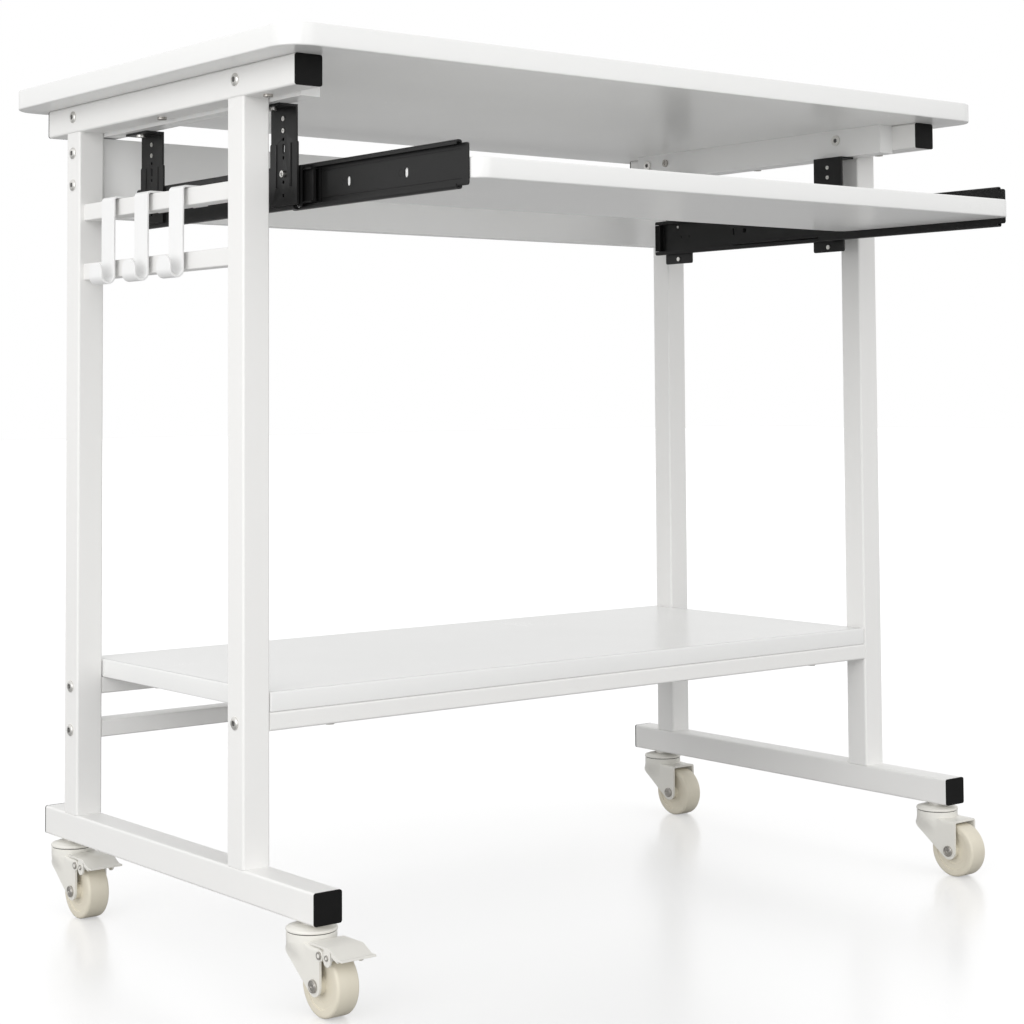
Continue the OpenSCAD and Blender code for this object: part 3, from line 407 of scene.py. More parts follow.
def rounded_ring(width: float, depth: float, radius: float, inset: np.ndarray,
                 steps: int = 12) -> np.ndarray:
    """Rings of a rounded rectangle, each drawn in by an inset.

    A ring's corner arc has the corner's radius less the inset, and never less than
    nothing, about the same middle; past that the middle moves in with the ring.

    Args:
        width: Full size along the first axis.
        depth: Full size along the second axis.
        radius: Corner radius of the outermost ring.
        inset: How far each ring is drawn in, of shape (N,).
        steps: Points along each corner's arc, less one.

    Returns:
        Points of shape (N, 4 * (steps + 1), 2).
    """
    arc = np.linspace(0, math.pi / 2, steps + 1)
    angle = np.concatenate([arc + quarter * math.pi / 2 for quarter in range(4)])
    sign_x = np.repeat([1, -1, -1, 1], steps + 1)
    sign_y = np.repeat([1, 1, -1, -1], steps + 1)
    inset = inset[:, None]
    small = np.maximum(radius - inset, 0)
    x = np.maximum(width / 2 - inset - small, 0) * sign_x + small * np.cos(angle)
    y = np.maximum(depth / 2 - inset - small, 0) * sign_y + small * np.sin(angle)
    return np.stack([x, y], -1)


def slab(low: Vector, high: Vector, corner: float, edge: float) -> np.ndarray:
    """A board lying flat, with round corners and softened edges, as one closed grid.

    Going from the middle of the underside to the middle of the top, the inset runs
    from half the depth to nothing and back, with a quarter circle at each edge. Two
    more rings on each face, inside the corners and beside the edge, keep it flat.

    Args:
        low: The board's lowest corner.
        high: Its highest corner.
        corner: Radius of its corners seen from above.
        edge: Radius of its edges.

    Returns:
        A grid closed in its second direction.
    """
    inner_ring, outer_ring, edge_points = 1.2, 2.5, 6
    size = high - low
    arc = np.linspace(0, math.pi / 2, edge_points)
    face = np.array([size.y / 2, corner * inner_ring + edge, edge * outer_ring])
    rise, run = edge * (1 - np.cos(arc)), edge * (1 - np.sin(arc))
    inset = np.concatenate([face, run, rise, face[::-1]])
    height = np.concatenate([np.full(len(face), low.z), low.z + rise,
                             high.z - run, np.full(len(face), high.z)])
    ring = rounded_ring(size.x, size.y, corner, inset)
    middle = (low + high) / 2
    z = np.broadcast_to(height[:, None, None], ring.shape[:2] + (1,))
    return np.concatenate([ring + np.array([middle.x, middle.y]), z], -1)


def dress(finish: Finish, *nodes: str) -> None:
    """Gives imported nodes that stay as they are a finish.

    Args:
        finish: The finish.
        *nodes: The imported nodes.
    """
    for node in nodes:
        mesh = frame["nodes"][node].data
        mesh.materials.clear()
        mesh.materials.append(finish.material())
        LOG.info("dressed %s with %s", node, finish.slot)


def seat(piece: bpy.types.Object, finish: Finish, node: str) -> None:
    """Gives a new piece its finish and lets it stand for the node that it replaces.

    Args:
        piece: The new piece, in place.
        finish: Its finish.
        node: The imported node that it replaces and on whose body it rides.
    """
    piece.data.materials.append(finish.material())
    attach(piece, frame["nodes"][node]["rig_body"])
    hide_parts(node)
    LOG.info("built %s for %s", piece.name, node)


def beside(piece: bpy.types.Object, finish: Finish, node: str) -> None:
    """Gives a piece that is added to a node its finish, and replaces nothing.

    Args:
        piece: The new piece, in place.
        finish: Its finish.
        node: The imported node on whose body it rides.
    """
    piece.data.materials.append(finish.material())
    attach(piece, frame["nodes"][node]["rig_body"])
    LOG.info("added %s beside %s", piece.name, node)


def merged(node: str) -> bpy.types.Mesh:
    """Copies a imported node's mesh, merges its doubles and flat faces, and shades it smooth.

    Args:
        node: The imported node, which stays as it is.

    Returns:
        The copy, with no material.
    """
    mesh = frame["nodes"][node].data.copy()
    mesh.name = node + "_soft"
    mesh.materials.clear()
    work = bmesh.new()
    work.from_mesh(mesh)
    bmesh.ops.remove_doubles(work, verts=work.verts, dist=WELD)
    bmesh.ops.dissolve_limit(work, angle_limit=FLAT_ANGLE, verts=work.verts, edges=work.edges)
    work.to_mesh(mesh)
    work.free()
    mesh.shade_smooth()
    mesh.set_sharp_from_angle(angle=math.radians(SOFT_ANGLE))
    return mesh


def softened(finish: Finish, edge: float, *nodes: str, segments: int = 2) -> None:
    """Replaces each node by a copy of it whose sharp edges are rounded.

    Args:
        finish: The copies' finish.
        edge: Width of the rounding.
        *nodes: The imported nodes.
        segments: Faces across the rounding.
    """
    for node in nodes:
        piece = placed(node + "_soft", merged(node))
        bevel = piece.modifiers.new("edges", "BEVEL")
        bevel.width = edge
        bevel.segments = segments
        bevel.limit_method = "ANGLE"
        bevel.angle_limit = math.radians(SOFT_ANGLE)
        bevel.harden_normals = True
        seat(piece, finish, node)


@dataclass
class Boards:
    """The laminated boards: tabletop, shelf, keyboard tray, rear panel and battens."""

    top_corner: float = 25 * MM
    tray_corner: float = 14 * MM
    shelf_corner: float = 1.2 * MM
    edge: float = 1.2 * MM
    light_edge: float = 0.6 * MM

    def build(self) -> None:
        """Builds the three large boards with softened edges and softens the others."""
        for node, corner in (("tabletop", self.top_corner), ("shelf_board", self.shelf_corner),
                             ("tray_board", self.tray_corner)):
            board = Shell().patch(slab(*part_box(node), corner, self.edge), close_v=True)
            seat(board.build(node + "_laminated"), LAMINATE, node)
        softened(LAMINATE, self.light_edge, "rear_panel", "left_batten", "right_batten")


@dataclass
class SteelFrame:
    """Tubes, beams, rails, end caps and their fasteners.

    Places of bolts and sleeves are (Y, Z), and the same on both sides.
    """

    tubes: tuple[str, ...] = (
        "left_top_tube", "right_top_tube", "left_front_upright", "left_rear_upright",
        "right_front_upright", "right_rear_upright", "left_foot_tube", "right_foot_tube",
        "upper_hook_rail", "lower_hook_rail", "shelf_front_beam", "shelf_rear_beam",
        "rear_crossbar")
    cap_edge: float = 0.5 * MM
    bolt_edge: float = 0.2 * MM
    bolt_places: tuple[tuple[float, float], ...] = (
        (-0.0600, 0.2055), (0.2250, 0.1665), (0.2250, 0.2055), (0.2250, 0.6592),
        (0.2250, 0.6884), (-0.0600, 0.7215), (0.2250, 0.7215))
    sleeve_face: float = 330.4 * MM
    sleeve_places: tuple[tuple[float, float], ...] = ((-0.0600, 0.7215), (0.2250, 0.7215))
    # Thin dark discs in the sockets are painted shade of the recesses: radius, drop below the
    # face, thickness and points round.
    socket_radius: float = 2.15 * MM
    socket_drop: float = 0.6 * MM
    socket_floor: float = 0.5 * MM
    socket_steps: int = 24

    def build(self) -> None:
        """Dresses the tubes and builds the caps and fasteners."""
        dress(POWDER, *self.tubes)
        softened(BLACK_PLASTIC, self.cap_edge, "tube_end_caps", segments=3)
        softened(ZINC, self.bolt_edge, "frame_bolts")
        dress(AXLE, "board_screws")
        self.sockets()

    def sockets(self) -> None:
        """Turns a thin dark disc deep in each socket of the bolts and sleeves: painted shade where
        the recess would be in shadow.
        """
        shell = Shell()
        bolt_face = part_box("frame_bolts")[1].x
        for places, face, out in ((self.bolt_places, bolt_face, 1),
                                  (self.sleeve_places, self.sleeve_face, -1)):
            high = face - out * self.socket_drop
            low = high - out * self.socket_floor
            disc = np.array([(0.0, high), (self.socket_radius, high),
                             (self.socket_radius, low), (0.0, low)])
            for sign in (-1, 1):
                for y, z in places:
                    shell.turn(disc * (1, sign), Vector((0.0, y, z)), "x", self.socket_steps)
        # The discs are painted shade, standing in for the shadow deep in each socket.
        beside(shell.build("bolt_sockets", TURNED_ANGLE), PAINTED_SHADE_ZINC, "frame_bolts")


@dataclass
class Slides:
    """Brackets, three-part slides, their ball cages and small parts.

    The places of the bracket fasteners' heads are along Y, and their heights along Z.
    """

    edge: float = 0.3 * MM
    head_places: tuple[float, ...] = (-55 * MM, 167 * MM)
    head_heights: tuple[float, ...] = (613.0 * MM, 648.16 * MM, 684 * MM, 694 * MM)
    head_reach: float = 4.6 * MM
    head_share: float = 0.7

    def build(self) -> None:
        """Softens the pressed parts and dresses the rest."""
        for side in Side:
            for end in End:
                softened(BLACK_ENAMEL, self.edge, f"{side.word}_{end.value}_bracket")
            dress(BLACK_ENAMEL,
                  *(f"{side.word}_slide_{part}" for part in ("base", "middle", "runner")))
        self.slim_heads()
        dress(BLACK_ENAMEL, "tray_screws", "base_cages", "runner_cages", "slide_latches")
        dress(BALL, "base_balls", "runner_balls")
        dress(BLACK_PLASTIC, "slide_bumpers")

    def slim_heads(self) -> None:
        """Copies the brackets' fasteners with slimmer heads where they point sideways.

        A point that lies nearer than the heads' reach to an axis along X moves
        towards that axis, to a fixed share of its distance.
        """
        node = "bracket_screws"
        mesh = merged(node)
        points = np.empty(3 * len(mesh.vertices))
        mesh.vertices.foreach_get("co", points)
        points = points.reshape(-1, 3)
        y, z = np.meshgrid(self.head_places, self.head_heights, indexing="ij")
        axes = np.stack([y.ravel(), z.ravel()], -1)
        offset = points[:, None, 1:] - axes[None]
        nearest = np.linalg.norm(offset, axis=-1).argmin(1)
        offset = offset[np.arange(len(points)), nearest]
        near = np.linalg.norm(offset, axis=-1) < self.head_reach
        points[near, 1:] = (axes[nearest] + self.head_share * offset)[near]
        mesh.vertices.foreach_set("co", points.ravel())
        seat(placed(node + "_slim", mesh), ZINC, node)


@dataclass
class Hooks:
    """The three strap hooks on the left side."""

    edge: float = 0.5 * MM

    def build(self) -> None:
        """Softens the straps' edges."""
        softened(HOOK_WHITE, self.edge, "rear_hook", "middle_hook", "front_hook")


@dataclass
class Casters:
    """The four swivel casters: stem, domed head, pressed fork, wheel and axle, two with a pedal.

    Fields that end in round or rounds are radii of a profile's corners, in its order.
    """

    pedal_edge: float = 0.5 * MM

    # Points round each turned part
    wheel_steps: int = 96
    head_steps: int = 64
    pin_steps: int = 48
    rivet_steps: int = 40

    # Wheel
    wheel_radius: float = 25 * MM
    tread_half: float = 10 * MM
    tread_round: float = 2.5 * MM
    parting_rise: float = 0.05 * MM
    parting_half: float = 0.6 * MM
    recess_radius: float = 18 * MM
    recess: float = 1.2 * MM
    recess_slope: float = 0.5 * MM
    recess_rounds: tuple[float, float] = (0.6 * MM, 0.5 * MM)
    ring_radius: float = 12.5 * MM
    ring_drop: float = 0.45 * MM
    ring_round: float = 0.3 * MM
    hub_radius: float = 7 * MM
    hub_rounds: tuple[float, float] = (0.7 * MM, 0.8 * MM)
    bore_radius: float = 3.3 * MM

    # Axle, whose heads have a dimple in a dish and a groove round them
    axle_head: float = 2 * MM
    axle_round: float = 0.6 * MM
    axle_round_steps: int = 4
    pin_radius: float = 3 * MM
    dimple_radii: tuple[float, float] = (0.8 * MM, 1.1 * MM)
    dimple_depth: float = 0.5 * MM
    dish_depth: float = 0.1 * MM
    groove_depth: float = 0.35 * MM
    groove_shares: tuple[float, ...] = (0.62, 0.66, 0.74, 0.78)

    # Domed head, collar and stem above it, kingpin and swivel race under it; the race ring is
    # real, its black partly painted shade of the gap under the dome
    head_top: float = 67 * MM
    head_radius: float = 20 * MM
    head_rim: float = 2.2 * MM
    head_rounds: tuple[float, float, float] = (0.7 * MM, 1.4 * MM, 8 * MM)
    dome_share: float = 0.72
    dome_drop: float = 3.2 * MM
    collar_radius: float = 8 * MM
    collar_height: float = 2.5 * MM
    collar_lap: float = 0.4 * MM
    collar_wall: float = 1 * MM
    collar_round: float = 0.4 * MM
    stem_radius: float = 4 * MM
    stem_round: float = 0.5 * MM
    flange_radius: float = 9 * MM
    flange_height: float = 1 * MM
    kingpin_radius: float = 6 * MM
    race_gap: float = 0.6 * MM
    race_radius: float = 18.9 * MM
    race_wall: float = 1 * MM
    race_lap: float = 0.2 * MM

    # Rivets of the pedal, and the lobes of the cheeks that carry them
    rivet_radii: tuple[float, float] = (3.05 * MM, 2.3 * MM)
    rivet_tops: tuple[float, float] = (1.15 * MM, 0.75 * MM)
    rivet_dish: float = 0.3 * MM
    rivet_shares: tuple[float, float] = (0.4, 0.55)
    stud_ahead: float = 10 * MM
    lobe_radius: float = 4.5 * MM
    lobe_rounds: tuple[float, float] = (0.5 * MM, 0.3 * MM)
    lobe_height: float = 49 * MM
    lap: float = 0.1 * MM
    lobe_lap: float = 0.05 * MM

    # Fork: eye, plate, crown, knee behind the crown, and the points of its grid
    eye_radius: float = 8 * MM
    plate_top: float = 54 * MM
    plate_metal: float = 2 * MM
    bend_radius: float = 3 * MM
    least_bend: float = 0.5 * MM
    bend_share: float = 0.7
    crown_radius: float = 19.5 * MM
    crown_fade: float = 16 * MM
    crown_rounds: tuple[float, float] = (0.3 * MM, 0.8 * MM)
    crown_lap: float = 0.2 * MM
    knee_back: float = 13 * MM
    knee_height: float = 44 * MM
    knee_round: float = 16 * MM
    knee_steps: int = 16
    skirt_height: float = 49 * MM
    even_reach: float = 8 * MM
    pin_hole: float = 6.3 * MM
    trail: float = 26 * MM
    eye_points: int = 25
    even_points: int = 16
    rear_points: int = 20
    cheek_points: int = 15
    bend_points: int = 7
    plate_points: int = 6

    def build(self) -> None:
        """Builds each caster and dresses it."""
        self.heads()
        for side in Side:
            for end in End:
                stem = f"{side.word}_{end.value}"
                self.wheel(stem)
                self.axle(stem)
                self.fork(stem, braked=side is Side.LEFT)
                if side is Side.LEFT:
                    softened(PUTTY, self.pedal_edge, stem + "_pedal", segments=3)
                    self.rivets(stem)

    def axle_middle(self, stem: str) -> tuple[Vector, float]:
        """Finds a caster's axle.

        Args:
            stem: The caster's name.

        Returns:
            The axle's middle and half of the width between its heads.
        """
        low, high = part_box(stem + "_axle")
        return (low + high) / 2, (high.x - low.x) / 2 - self.axle_head

    def wheel(self, stem: str) -> None:
        """Turns the wheel: tread with a fine parting line, stepped faces and a round hub.

        Args:
            stem: The caster's name.
        """
        node = stem + "_wheel"
        low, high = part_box(node)
        hub = (high.x - low.x) / 2
        radius, half = self.wheel_radius - self.parting_rise, self.tread_half
        web = half - self.recess
        end_round, foot_round = self.hub_rounds
        inner_round, outer_round = self.recess_rounds
        face = rounded([
            (self.bore_radius, -hub, 0), (self.hub_radius, -hub, end_round),
            (self.hub_radius, self.ring_drop - web, foot_round),
            (self.ring_radius, self.ring_drop - web, self.ring_round),
            (self.ring_radius + self.ring_drop, -web, self.ring_round),
            (self.recess_radius, -web, inner_round),
            (self.recess_radius + self.recess_slope, -half, outer_round),
            (radius, -half, self.tread_round), (radius, -self.parting_half, 0)])
        profile = np.concatenate([face, [(self.wheel_radius, 0.0)], face[::-1] * (1, -1)])
        shell = Shell().turn(profile, (low + high) / 2, "x", self.wheel_steps, close_u=True)
        seat(shell.build(node + "_turned", FINE_ANGLE), NYLON, node)

    def axle(self, stem: str) -> None:
        """Turns the axle: a plain pin between two riveted heads with a groove and a dimple.

        Args:
            stem: The caster's name.
        """
        node = stem + "_axle"
        low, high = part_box(node)
        reach = (high.x - low.x) / 2
        radius = (high.y - low.y) / 2
        dimple_in, dimple_out = self.dimple_radii
        groove = [radius * share for share in self.groove_shares]
        tight, wide = 0.1 * MM, 0.2 * MM
        head = rounded([
            (0.0, self.dimple_depth - reach, 0), (dimple_in, self.dimple_depth - reach, wide),
            (dimple_out, self.dish_depth - reach, wide),
            (groove[0], self.dish_depth - reach, tight),
            (groove[1], self.groove_depth - reach, tight),
            (groove[2], self.groove_depth - reach, tight), (groove[3], -reach, wide),
            (radius, -reach, self.axle_round), (radius, self.axle_head - reach, wide),
            (self.pin_radius, self.axle_head - reach, 0)], self.axle_round_steps)
        profile = np.concatenate([head, head[::-1] * (1, -1)])
        shell = Shell().turn(profile, (low + high) / 2, "x", self.pin_steps)
        seat(shell.build(node + "_turned", FINE_ANGLE), AXLE, node)

    def heads(self) -> None:
        """Turns the four domed heads, the swivel race rings, black in part as painted shade under
        the domes, and the threaded stems in the tubes.
        """
        low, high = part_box("caster_stems")
        shells = Shell(), Shell(), Shell()
        for side in Side:
            for end in End:
                stem = f"{side.word}_{end.value}"
                wheel_low, wheel_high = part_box(stem + "_wheel")
                middle = (wheel_low + wheel_high) / 2
                axis = Vector((middle.x, middle.y + self.trail, 0.0))
                self.head(shells, axis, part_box(stem + "_fork")[1].z, low.z, high.z)
        domes, stems, race_shade = shells
        seat(domes.build("caster_heads_domed", TURNED_ANGLE), PUTTY, "caster_stems")
        beside(stems.build("caster_stems_turned", TURNED_ANGLE), ZINC, "caster_stems")
        # The race rings are real parts, but their black is partly painted shade of the gap under
        # the domes' rims.
        beside(race_shade.build("caster_races", TURNED_ANGLE), BLACK_ENAMEL, "caster_stems")

    def head(self, shells: tuple[Shell, Shell, Shell], axis: Vector, plate: float,
             low: float, high: float) -> None:
        """Turns one caster's head: dome, race, collar with stem, and kingpin.

        Args:
            shells: The shells that collect the domes, the stems and the race rings, whose black is
                partly painted shade.
            axis: The swivel axis's place on the floor.
            plate: Height of the fork's top.
            low: Height of the kingpin's lower end.
            high: Height of the stem's upper end.
        """
        domes, stems, race_shade = shells
        base, top = plate + self.race_gap, self.head_top
        foot = top - self.collar_height
        rim_round, brim_round, dome_round = self.head_rounds
        inner_race = self.race_radius - self.race_wall
        tight, wide = 0.2 * MM, 0.3 * MM
        domes.turn(rounded([
            (0.0, base, 0), (self.head_radius, base, rim_round),
            (self.head_radius, base + self.head_rim, brim_round),
            (self.dome_share * self.head_radius, top - self.dome_drop, dome_round),
            (self.collar_radius, foot, 0)]), axis, "z", self.head_steps)
        # The race ring is real; its black is partly painted shade of the gap under the dome's rim.
        race_shade.turn(np.array([
            (inner_race, base + self.race_lap), (self.race_radius, base + self.race_lap),
            (self.race_radius, plate - self.race_lap), (inner_race, plate - self.race_lap)]),
            axis, "z", self.head_steps, close_u=True)
        stems.turn(rounded([
            (self.collar_radius - self.collar_wall, foot - self.collar_lap, 0),
            (self.collar_radius, foot - self.collar_lap, wide),
            (self.collar_radius, top, self.collar_round), (self.stem_radius, top, wide),
            (self.stem_radius, high, self.stem_round), (0.0, high, 0)]),
            axis, "z", self.pin_steps)
        stems.turn(rounded([
            (0.0, low, 0), (self.flange_radius, low, wide),
            (self.flange_radius, low + self.flange_height, tight),
            (self.kingpin_radius, low + self.flange_height, tight),
            (self.kingpin_radius, base, 0)]), axis, "z", self.pin_steps)

    def rivets(self, stem: str) -> None:
        """Turns the pedal's rivet heads, on the fork's lobes and on the pedal's skirts.

        Args:
            stem: The caster's name.
        """
        shell = Shell()
        axle, half = self.axle_middle(stem)
        pivot = axle.y - self.eye_radius + self.lap
        tight, wide = 0.2 * MM, 0.3 * MM
        for sign in (-1, 1):
            for ahead, radius, rise in zip((0.0, self.stud_ahead), self.rivet_radii,
                                           self.rivet_tops):
                top = half + rise
                dish, lip = (share * radius for share in self.rivet_shares)
                head = rounded([
                    (0.0, top - self.rivet_dish, 0), (dish, top - self.rivet_dish, tight),
                    (lip, top, tight), (radius, top, wide), (radius, half - self.lap, 0)])
                place = Vector((axle.x, pivot - ahead, self.lobe_height))
                shell.turn(head * (1, sign), place, "x", self.rivet_steps)
        beside(shell.build(stem + "_pedal_rivets", TURNED_ANGLE), AXLE, stem + "_pedal")

    def fork(self, stem: str, braked: bool) -> None:
        """Presses the fork: a bent channel whose cheeks swell into a round crown.

        At each place along Y the channel is one closed loop. Its outer line goes up a
        cheek from the cheek's lower edge, round a bend, over the plate and down the
        other side, and its inner line comes back a metal's thickness inside. Near the
        crown each cheek's distance from the middle turns into that of the crown's
        circle, by a smooth step in height, so that the sides swell and the rear closes.

        Args:
            stem: The caster's name.
            braked: Whether the cheeks carry the pedal's round lobes.
        """
        node = stem + "_fork"
        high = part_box(node)[1]
        axle, half = self.axle_middle(stem)
        axis_y = axle.y + self.trail
        y, bottom = self.lower_edge(axle, axis_y)
        back = y - axis_y
        outer = self.line(back, bottom, half, self.crown_radius, 0.0)
        inner = self.line(back * self.shrink(back), bottom, half - self.plate_metal,
                          self.crown_radius - self.plate_metal, self.plate_metal)
        grid = np.concatenate([outer, inner[:, ::-1]], 1) + np.array([axle.x, axis_y, 0.0])
        shell = Shell().patch(grid, close_v=True)
        count = outer.shape[1]
        for row in (grid[0], grid[-1]):
            shell.patch(np.stack([row[:count], row[count:][::-1]]))
        bore_round, rim_round = self.crown_rounds
        crown = rounded([
            (self.pin_hole, self.plate_top - self.plate_metal, 0),
            (self.pin_hole, high.z, bore_round), (self.crown_radius, high.z, rim_round),
            (self.crown_radius, self.plate_top - self.crown_lap, 0)])
        shell.turn(crown, Vector((axle.x, axis_y, 0.0)), "z", self.wheel_steps)
        if braked:
            out, deep = half + self.lobe_lap, half - self.plate_metal - self.lobe_lap
            out_round, deep_round = self.lobe_rounds
            lobe = rounded([(0.0, out, 0), (self.lobe_radius, out, out_round),
                            (self.lobe_radius, deep, deep_round), (0.0, deep, 0)])
            place = Vector((axle.x, axle.y - self.eye_radius + self.lap, self.lobe_height))
            for sign in (-1, 1):
                shell.turn(lobe * (1, sign), place, "x", self.rivet_steps)
        seat(shell.build(node + "_pressed", SOFT_ANGLE), PUTTY, node)

    def lower_edge(self, axle: Vector, axis_y: float) -> tuple[np.ndarray, np.ndarray]:
        """The cheeks' lower edge, from the front of the axle's eye to the rear of the crown.

        It follows the eye's circle to the point where a tangent leaves for the knee,
        rounds the knee and ends behind the crown. The last part is spaced by the
        crown's angle, so that the closing rear stays smooth.

        Args:
            axle: The axle's middle.
            axis_y: Place of the swivel axis.

        Returns:
            Places along Y and their heights, each of shape (N, 1).
        """
        eye = np.array([axle.y, axle.z])
        knee = np.array([axis_y + self.knee_back, self.knee_height])
        span = knee - eye
        turn = math.atan2(span[1], span[0]) - math.acos(self.eye_radius / np.linalg.norm(span))
        angle = np.linspace(-math.pi, turn, self.eye_points)
        circle = eye + self.eye_radius * np.stack([np.cos(angle), np.sin(angle)], -1)
        rear = rounded([(*circle[-1], 0), (*knee, self.knee_round),
                        (axis_y + self.crown_radius, self.skirt_height, 0)], self.knee_steps)
        even = np.linspace(circle[-1, 0], axis_y + self.even_reach, self.even_points)[1:]
        first = math.asin(self.even_reach / self.crown_radius)
        last = np.sin(np.linspace(first, math.pi / 2, self.rear_points)[1:])
        reach = np.concatenate([even, axis_y + self.crown_radius * last])
        height = np.interp(reach, rear[:, 0], rear[:, 1])
        return (np.concatenate([circle[:, 0], reach])[:, None],
                np.concatenate([circle[:, 1], height])[:, None])

    def shrink(self, back: np.ndarray) -> np.ndarray:
        """How the inner line draws in behind the axis, from no change to a metal's thickness."""
        step = np.clip(back / self.crown_radius, 0, 1)
        return 1 - step * self.plate_metal / self.crown_radius

    def line(self, back: np.ndarray, bottom: np.ndarray, half: float, crown: float,
             inset: float) -> np.ndarray:
        """One line of the channel, from the left cheek's lower edge over to the right one's.

        Args:
            back: Distance behind the swivel axis of each row, of shape (N, 1).
            bottom: Height of the cheeks' lower edge at each row, of shape (N, 1).
            half: Half of the channel's width on this line.
            crown: Radius of the crown on this line.
            inset: How far the line lies inside the outer one.

        Returns:
            Points of shape (N, points, 3), about the axis.
        """
        rows, share = len(back), self.bend_share
        ahead = self.smooth((-back - share * self.crown_radius)
                            / ((1 - share) * self.crown_radius))
        bend = self.least_bend + (self.bend_radius - inset - self.least_bend) * ahead
        top = self.plate_top - inset
        arc = np.linspace(0, math.pi / 2, self.bend_points)[None]
        rise = np.linspace(0, 1, self.cheek_points + 1)[None, :-1]
        floor = np.minimum(bottom, top - bend)
        z = np.concatenate([floor + rise * (top - bend - floor), top - bend + bend * np.sin(arc),
                            np.full((rows, self.plate_points), top)], 1)
        fade = self.smooth((z - (self.plate_top - self.crown_fade)) / self.crown_fade)
        circle = np.sqrt(np.maximum(crown ** 2 - back ** 2, 0))
        pull = np.where(back < 0, np.maximum(circle - half, 0), circle - half)
        wide = (half + pull * fade)[:, :-self.plate_points]
        drawn = np.concatenate([np.zeros((rows, self.cheek_points)), bend * (1 - np.cos(arc))], 1)
        x = wide - np.minimum(drawn, wide)
        across = x[:, -1:] * np.linspace(1, 0, self.plate_points + 1)[None, 1:]
        x = np.concatenate([x, across], 1)
        x = np.concatenate([-x, x[:, -2::-1]], 1)
        z = np.concatenate([z, z[:, -2::-1]], 1)
        return np.stack([x, np.broadcast_to(back, x.shape), z], -1)

    @staticmethod
    def smooth(share: np.ndarray) -> np.ndarray:
        """A smooth step: the share held between 0 and 1, squared, times 3 less twice itself."""
        share = np.clip(share, 0, 1)
        return share ** 2 * (3 - 2 * share)


@dataclass(frozen=True)
class Lamp:
    """A soft round lamp that points at the table.

    Attributes:
        name: The lamp's name.
        place: Where it stands.
        size: Its diameter.
        power: Its power in watts.
    """

    name: str
    place: Place
    size: float
    power: float


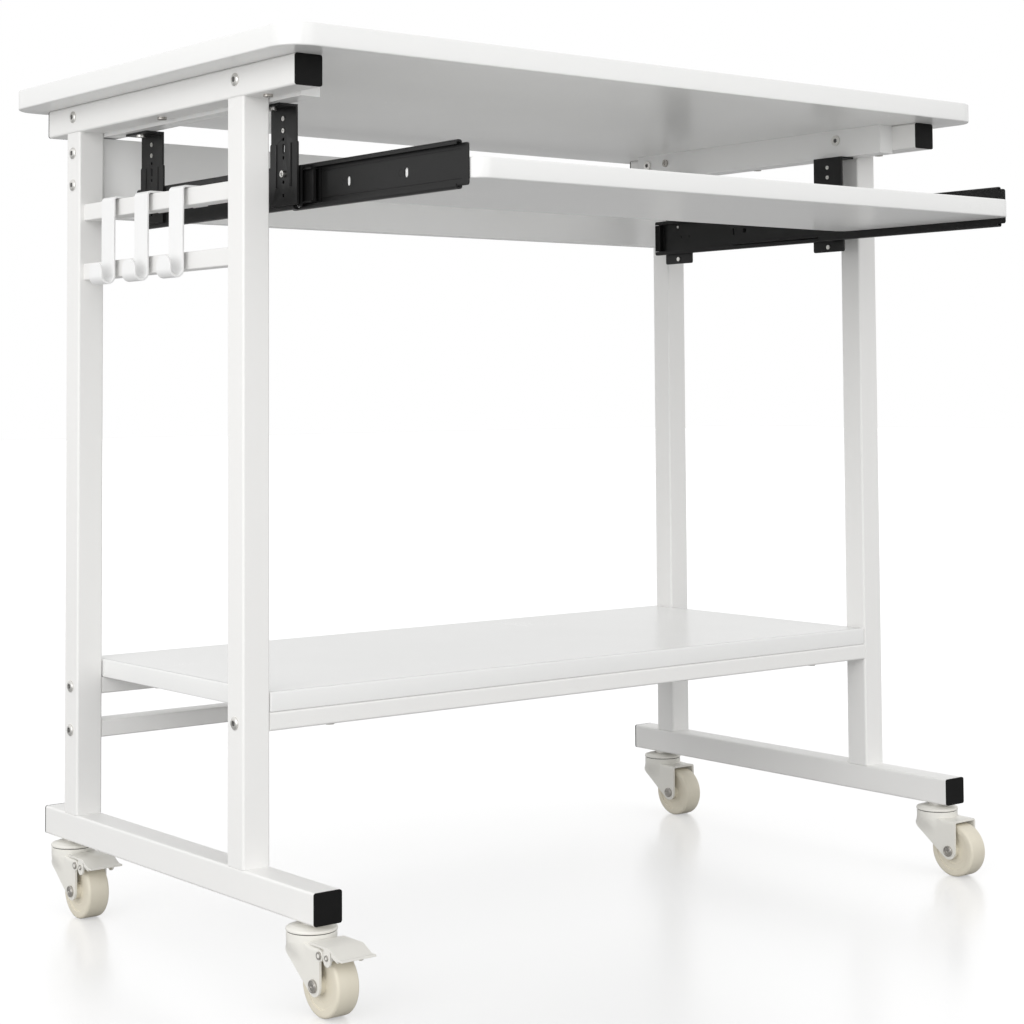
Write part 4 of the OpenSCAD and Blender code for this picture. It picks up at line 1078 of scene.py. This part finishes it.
@dataclass
class Studio:
    """Floor, background, lamps and the camera.

    The camera is given by its place, its yaw, pitch and roll in radians, and the
    photograph's focal length and middle row in pixels.
    """

    floor_size: float = 40.0
    floor_paint: Colour = (0.43, 0.43, 0.43)
    floor_roughness: float = 0.7
    seen_paint: Colour = (0.50, 0.50, 0.50)
    seen_roughness: float = 0.22
    glow: float = 0.42
    white: Colour = (1.0, 1.0, 1.0)
    even_light: float = 0.85
    lamp_target: Place = (0.0, 0.0, 0.4)
    lamps: tuple[Lamp, ...] = (
        Lamp("left", (-3.0, -0.9, 1.3), 2.2, 23.0),
        Lamp("low_left", (-2.6, -0.2, 0.35), 1.4, 5.0),
        Lamp("front", (0.4, -3.4, 1.3), 2.4, 15.5),
        Lamp("front_left", (-2.4, -2.8, 1.6), 2.0, 18.0))
    camera_place: Place = (-1.255338, -1.525120, 0.464757)
    yaw: float = 0.6718
    pitch: float = 0.0515
    roll: float = -0.0064
    focal_px: float = 2108.822
    middle_px: float = 286.925
    image_px: float = 1024.0
    sensor: float = 36.0
    far_clip: float = 100.0

    def build(self) -> None:
        """Sets the stage, from the floor to the camera."""
        self.floor()
        self.background()
        self.light()
        self.camera()
        bpy.context.scene.view_settings.view_transform = "Standard"

    def floor(self) -> None:
        """A plain pale floor that glows evenly for the camera and keeps the table's shadow."""
        half = self.floor_size / 2
        across = np.array([-half, half])
        x, y = np.meshgrid(across, across, indexing="ij")
        floor = Shell().patch(np.stack([x, y, np.zeros_like(x)], -1)).build("floor")
        if floor.data.polygons[0].normal.z < 0:
            floor.data.flip_normals()
        material = bpy.data.materials.new("pale_floor")
        material.use_nodes = True
        graph = NodeGraph(material.node_tree)
        path = graph.add("ShaderNodeLightPath")
        paint = graph.add("ShaderNodeBsdfPrincipled", Base_Color=rgba(self.floor_paint),
                          Roughness=self.floor_roughness)
        seen = graph.add("ShaderNodeBsdfPrincipled", Base_Color=rgba(self.seen_paint),
                         Roughness=self.seen_roughness, Emission_Color=rgba(self.white),
                         Emission_Strength=self.glow)
        mix = graph.add("ShaderNodeMixShader")
        for socket, value in zip(mix.inputs, (path.outputs["Is Camera Ray"], paint.outputs[0],
                                              seen.outputs[0])):
            graph.feed(socket, value)
        graph.add("ShaderNodeOutputMaterial", Surface=mix.outputs[0])
        floor.data.materials.append(material)

    def background(self) -> None:
        """White for the camera and for gloss, and a softer even light for the rest."""
        world = bpy.data.worlds.new("studio")
        bpy.context.scene.world = world
        world.use_nodes = True
        graph = NodeGraph(world.node_tree)
        path = graph.add("ShaderNodeLightPath").outputs
        shown = graph.math("MAXIMUM", path["Is Camera Ray"], path["Is Glossy Ray"])
        shown = graph.math("MAXIMUM", shown, path["Is Transmission Ray"])
        strength = graph.add("ShaderNodeMapRange", Value=shown, To_Min=self.even_light, To_Max=1.0)
        light = graph.add("ShaderNodeBackground", Color=rgba(self.white),
                          Strength=strength.outputs[0])
        graph.add("ShaderNodeOutputWorld", Surface=light.outputs[0])

    def light(self) -> None:
        """Two soft lamps at the left, high and low, and two in front."""
        for lamp in self.lamps:
            data = bpy.data.lights.new(lamp.name, "AREA")
            data.shape = "DISK"
            data.size = lamp.size
            data.energy = lamp.power
            holder = placed(lamp.name, data)
            holder.location = lamp.place
            aim = Vector(self.lamp_target) - holder.location
            holder.rotation_euler = aim.to_track_quat("-Z", "Y").to_euler()

    def camera(self) -> None:
        """Places the camera at the photograph's viewpoint."""
        cos, sin = math.cos, math.sin
        ahead = Vector((sin(self.yaw) * cos(self.pitch), cos(self.yaw) * cos(self.pitch),
                        sin(self.pitch)))
        level = Vector((cos(self.yaw), -sin(self.yaw), 0.0))
        up = level.cross(ahead)
        right = level * cos(self.roll) + up * sin(self.roll)
        above = up * cos(self.roll) - level * sin(self.roll)
        lens = bpy.data.cameras.new("camera")
        lens.sensor_width = self.sensor
        lens.sensor_fit = "HORIZONTAL"
        lens.lens = self.focal_px * self.sensor / self.image_px
        lens.shift_y = (self.middle_px - self.image_px / 2) / self.image_px
        lens.clip_end = self.far_clip
        holder = placed("camera", lens)
        turn = Matrix((right, above, -ahead)).transposed()
        holder.matrix_world = Matrix.Translation(self.camera_place) @ turn.to_4x4()
        bpy.context.scene.camera = holder


def main() -> None:
    """Builds the table, piece by piece, and its studio."""
    logging.basicConfig(level=logging.INFO, format="%(name)s: %(message)s")
    for assembly in (Boards(), SteelFrame(), Slides(), Hooks(), Casters(), Studio()):
        assembly.build()


if __name__ == "__main__":
    main()
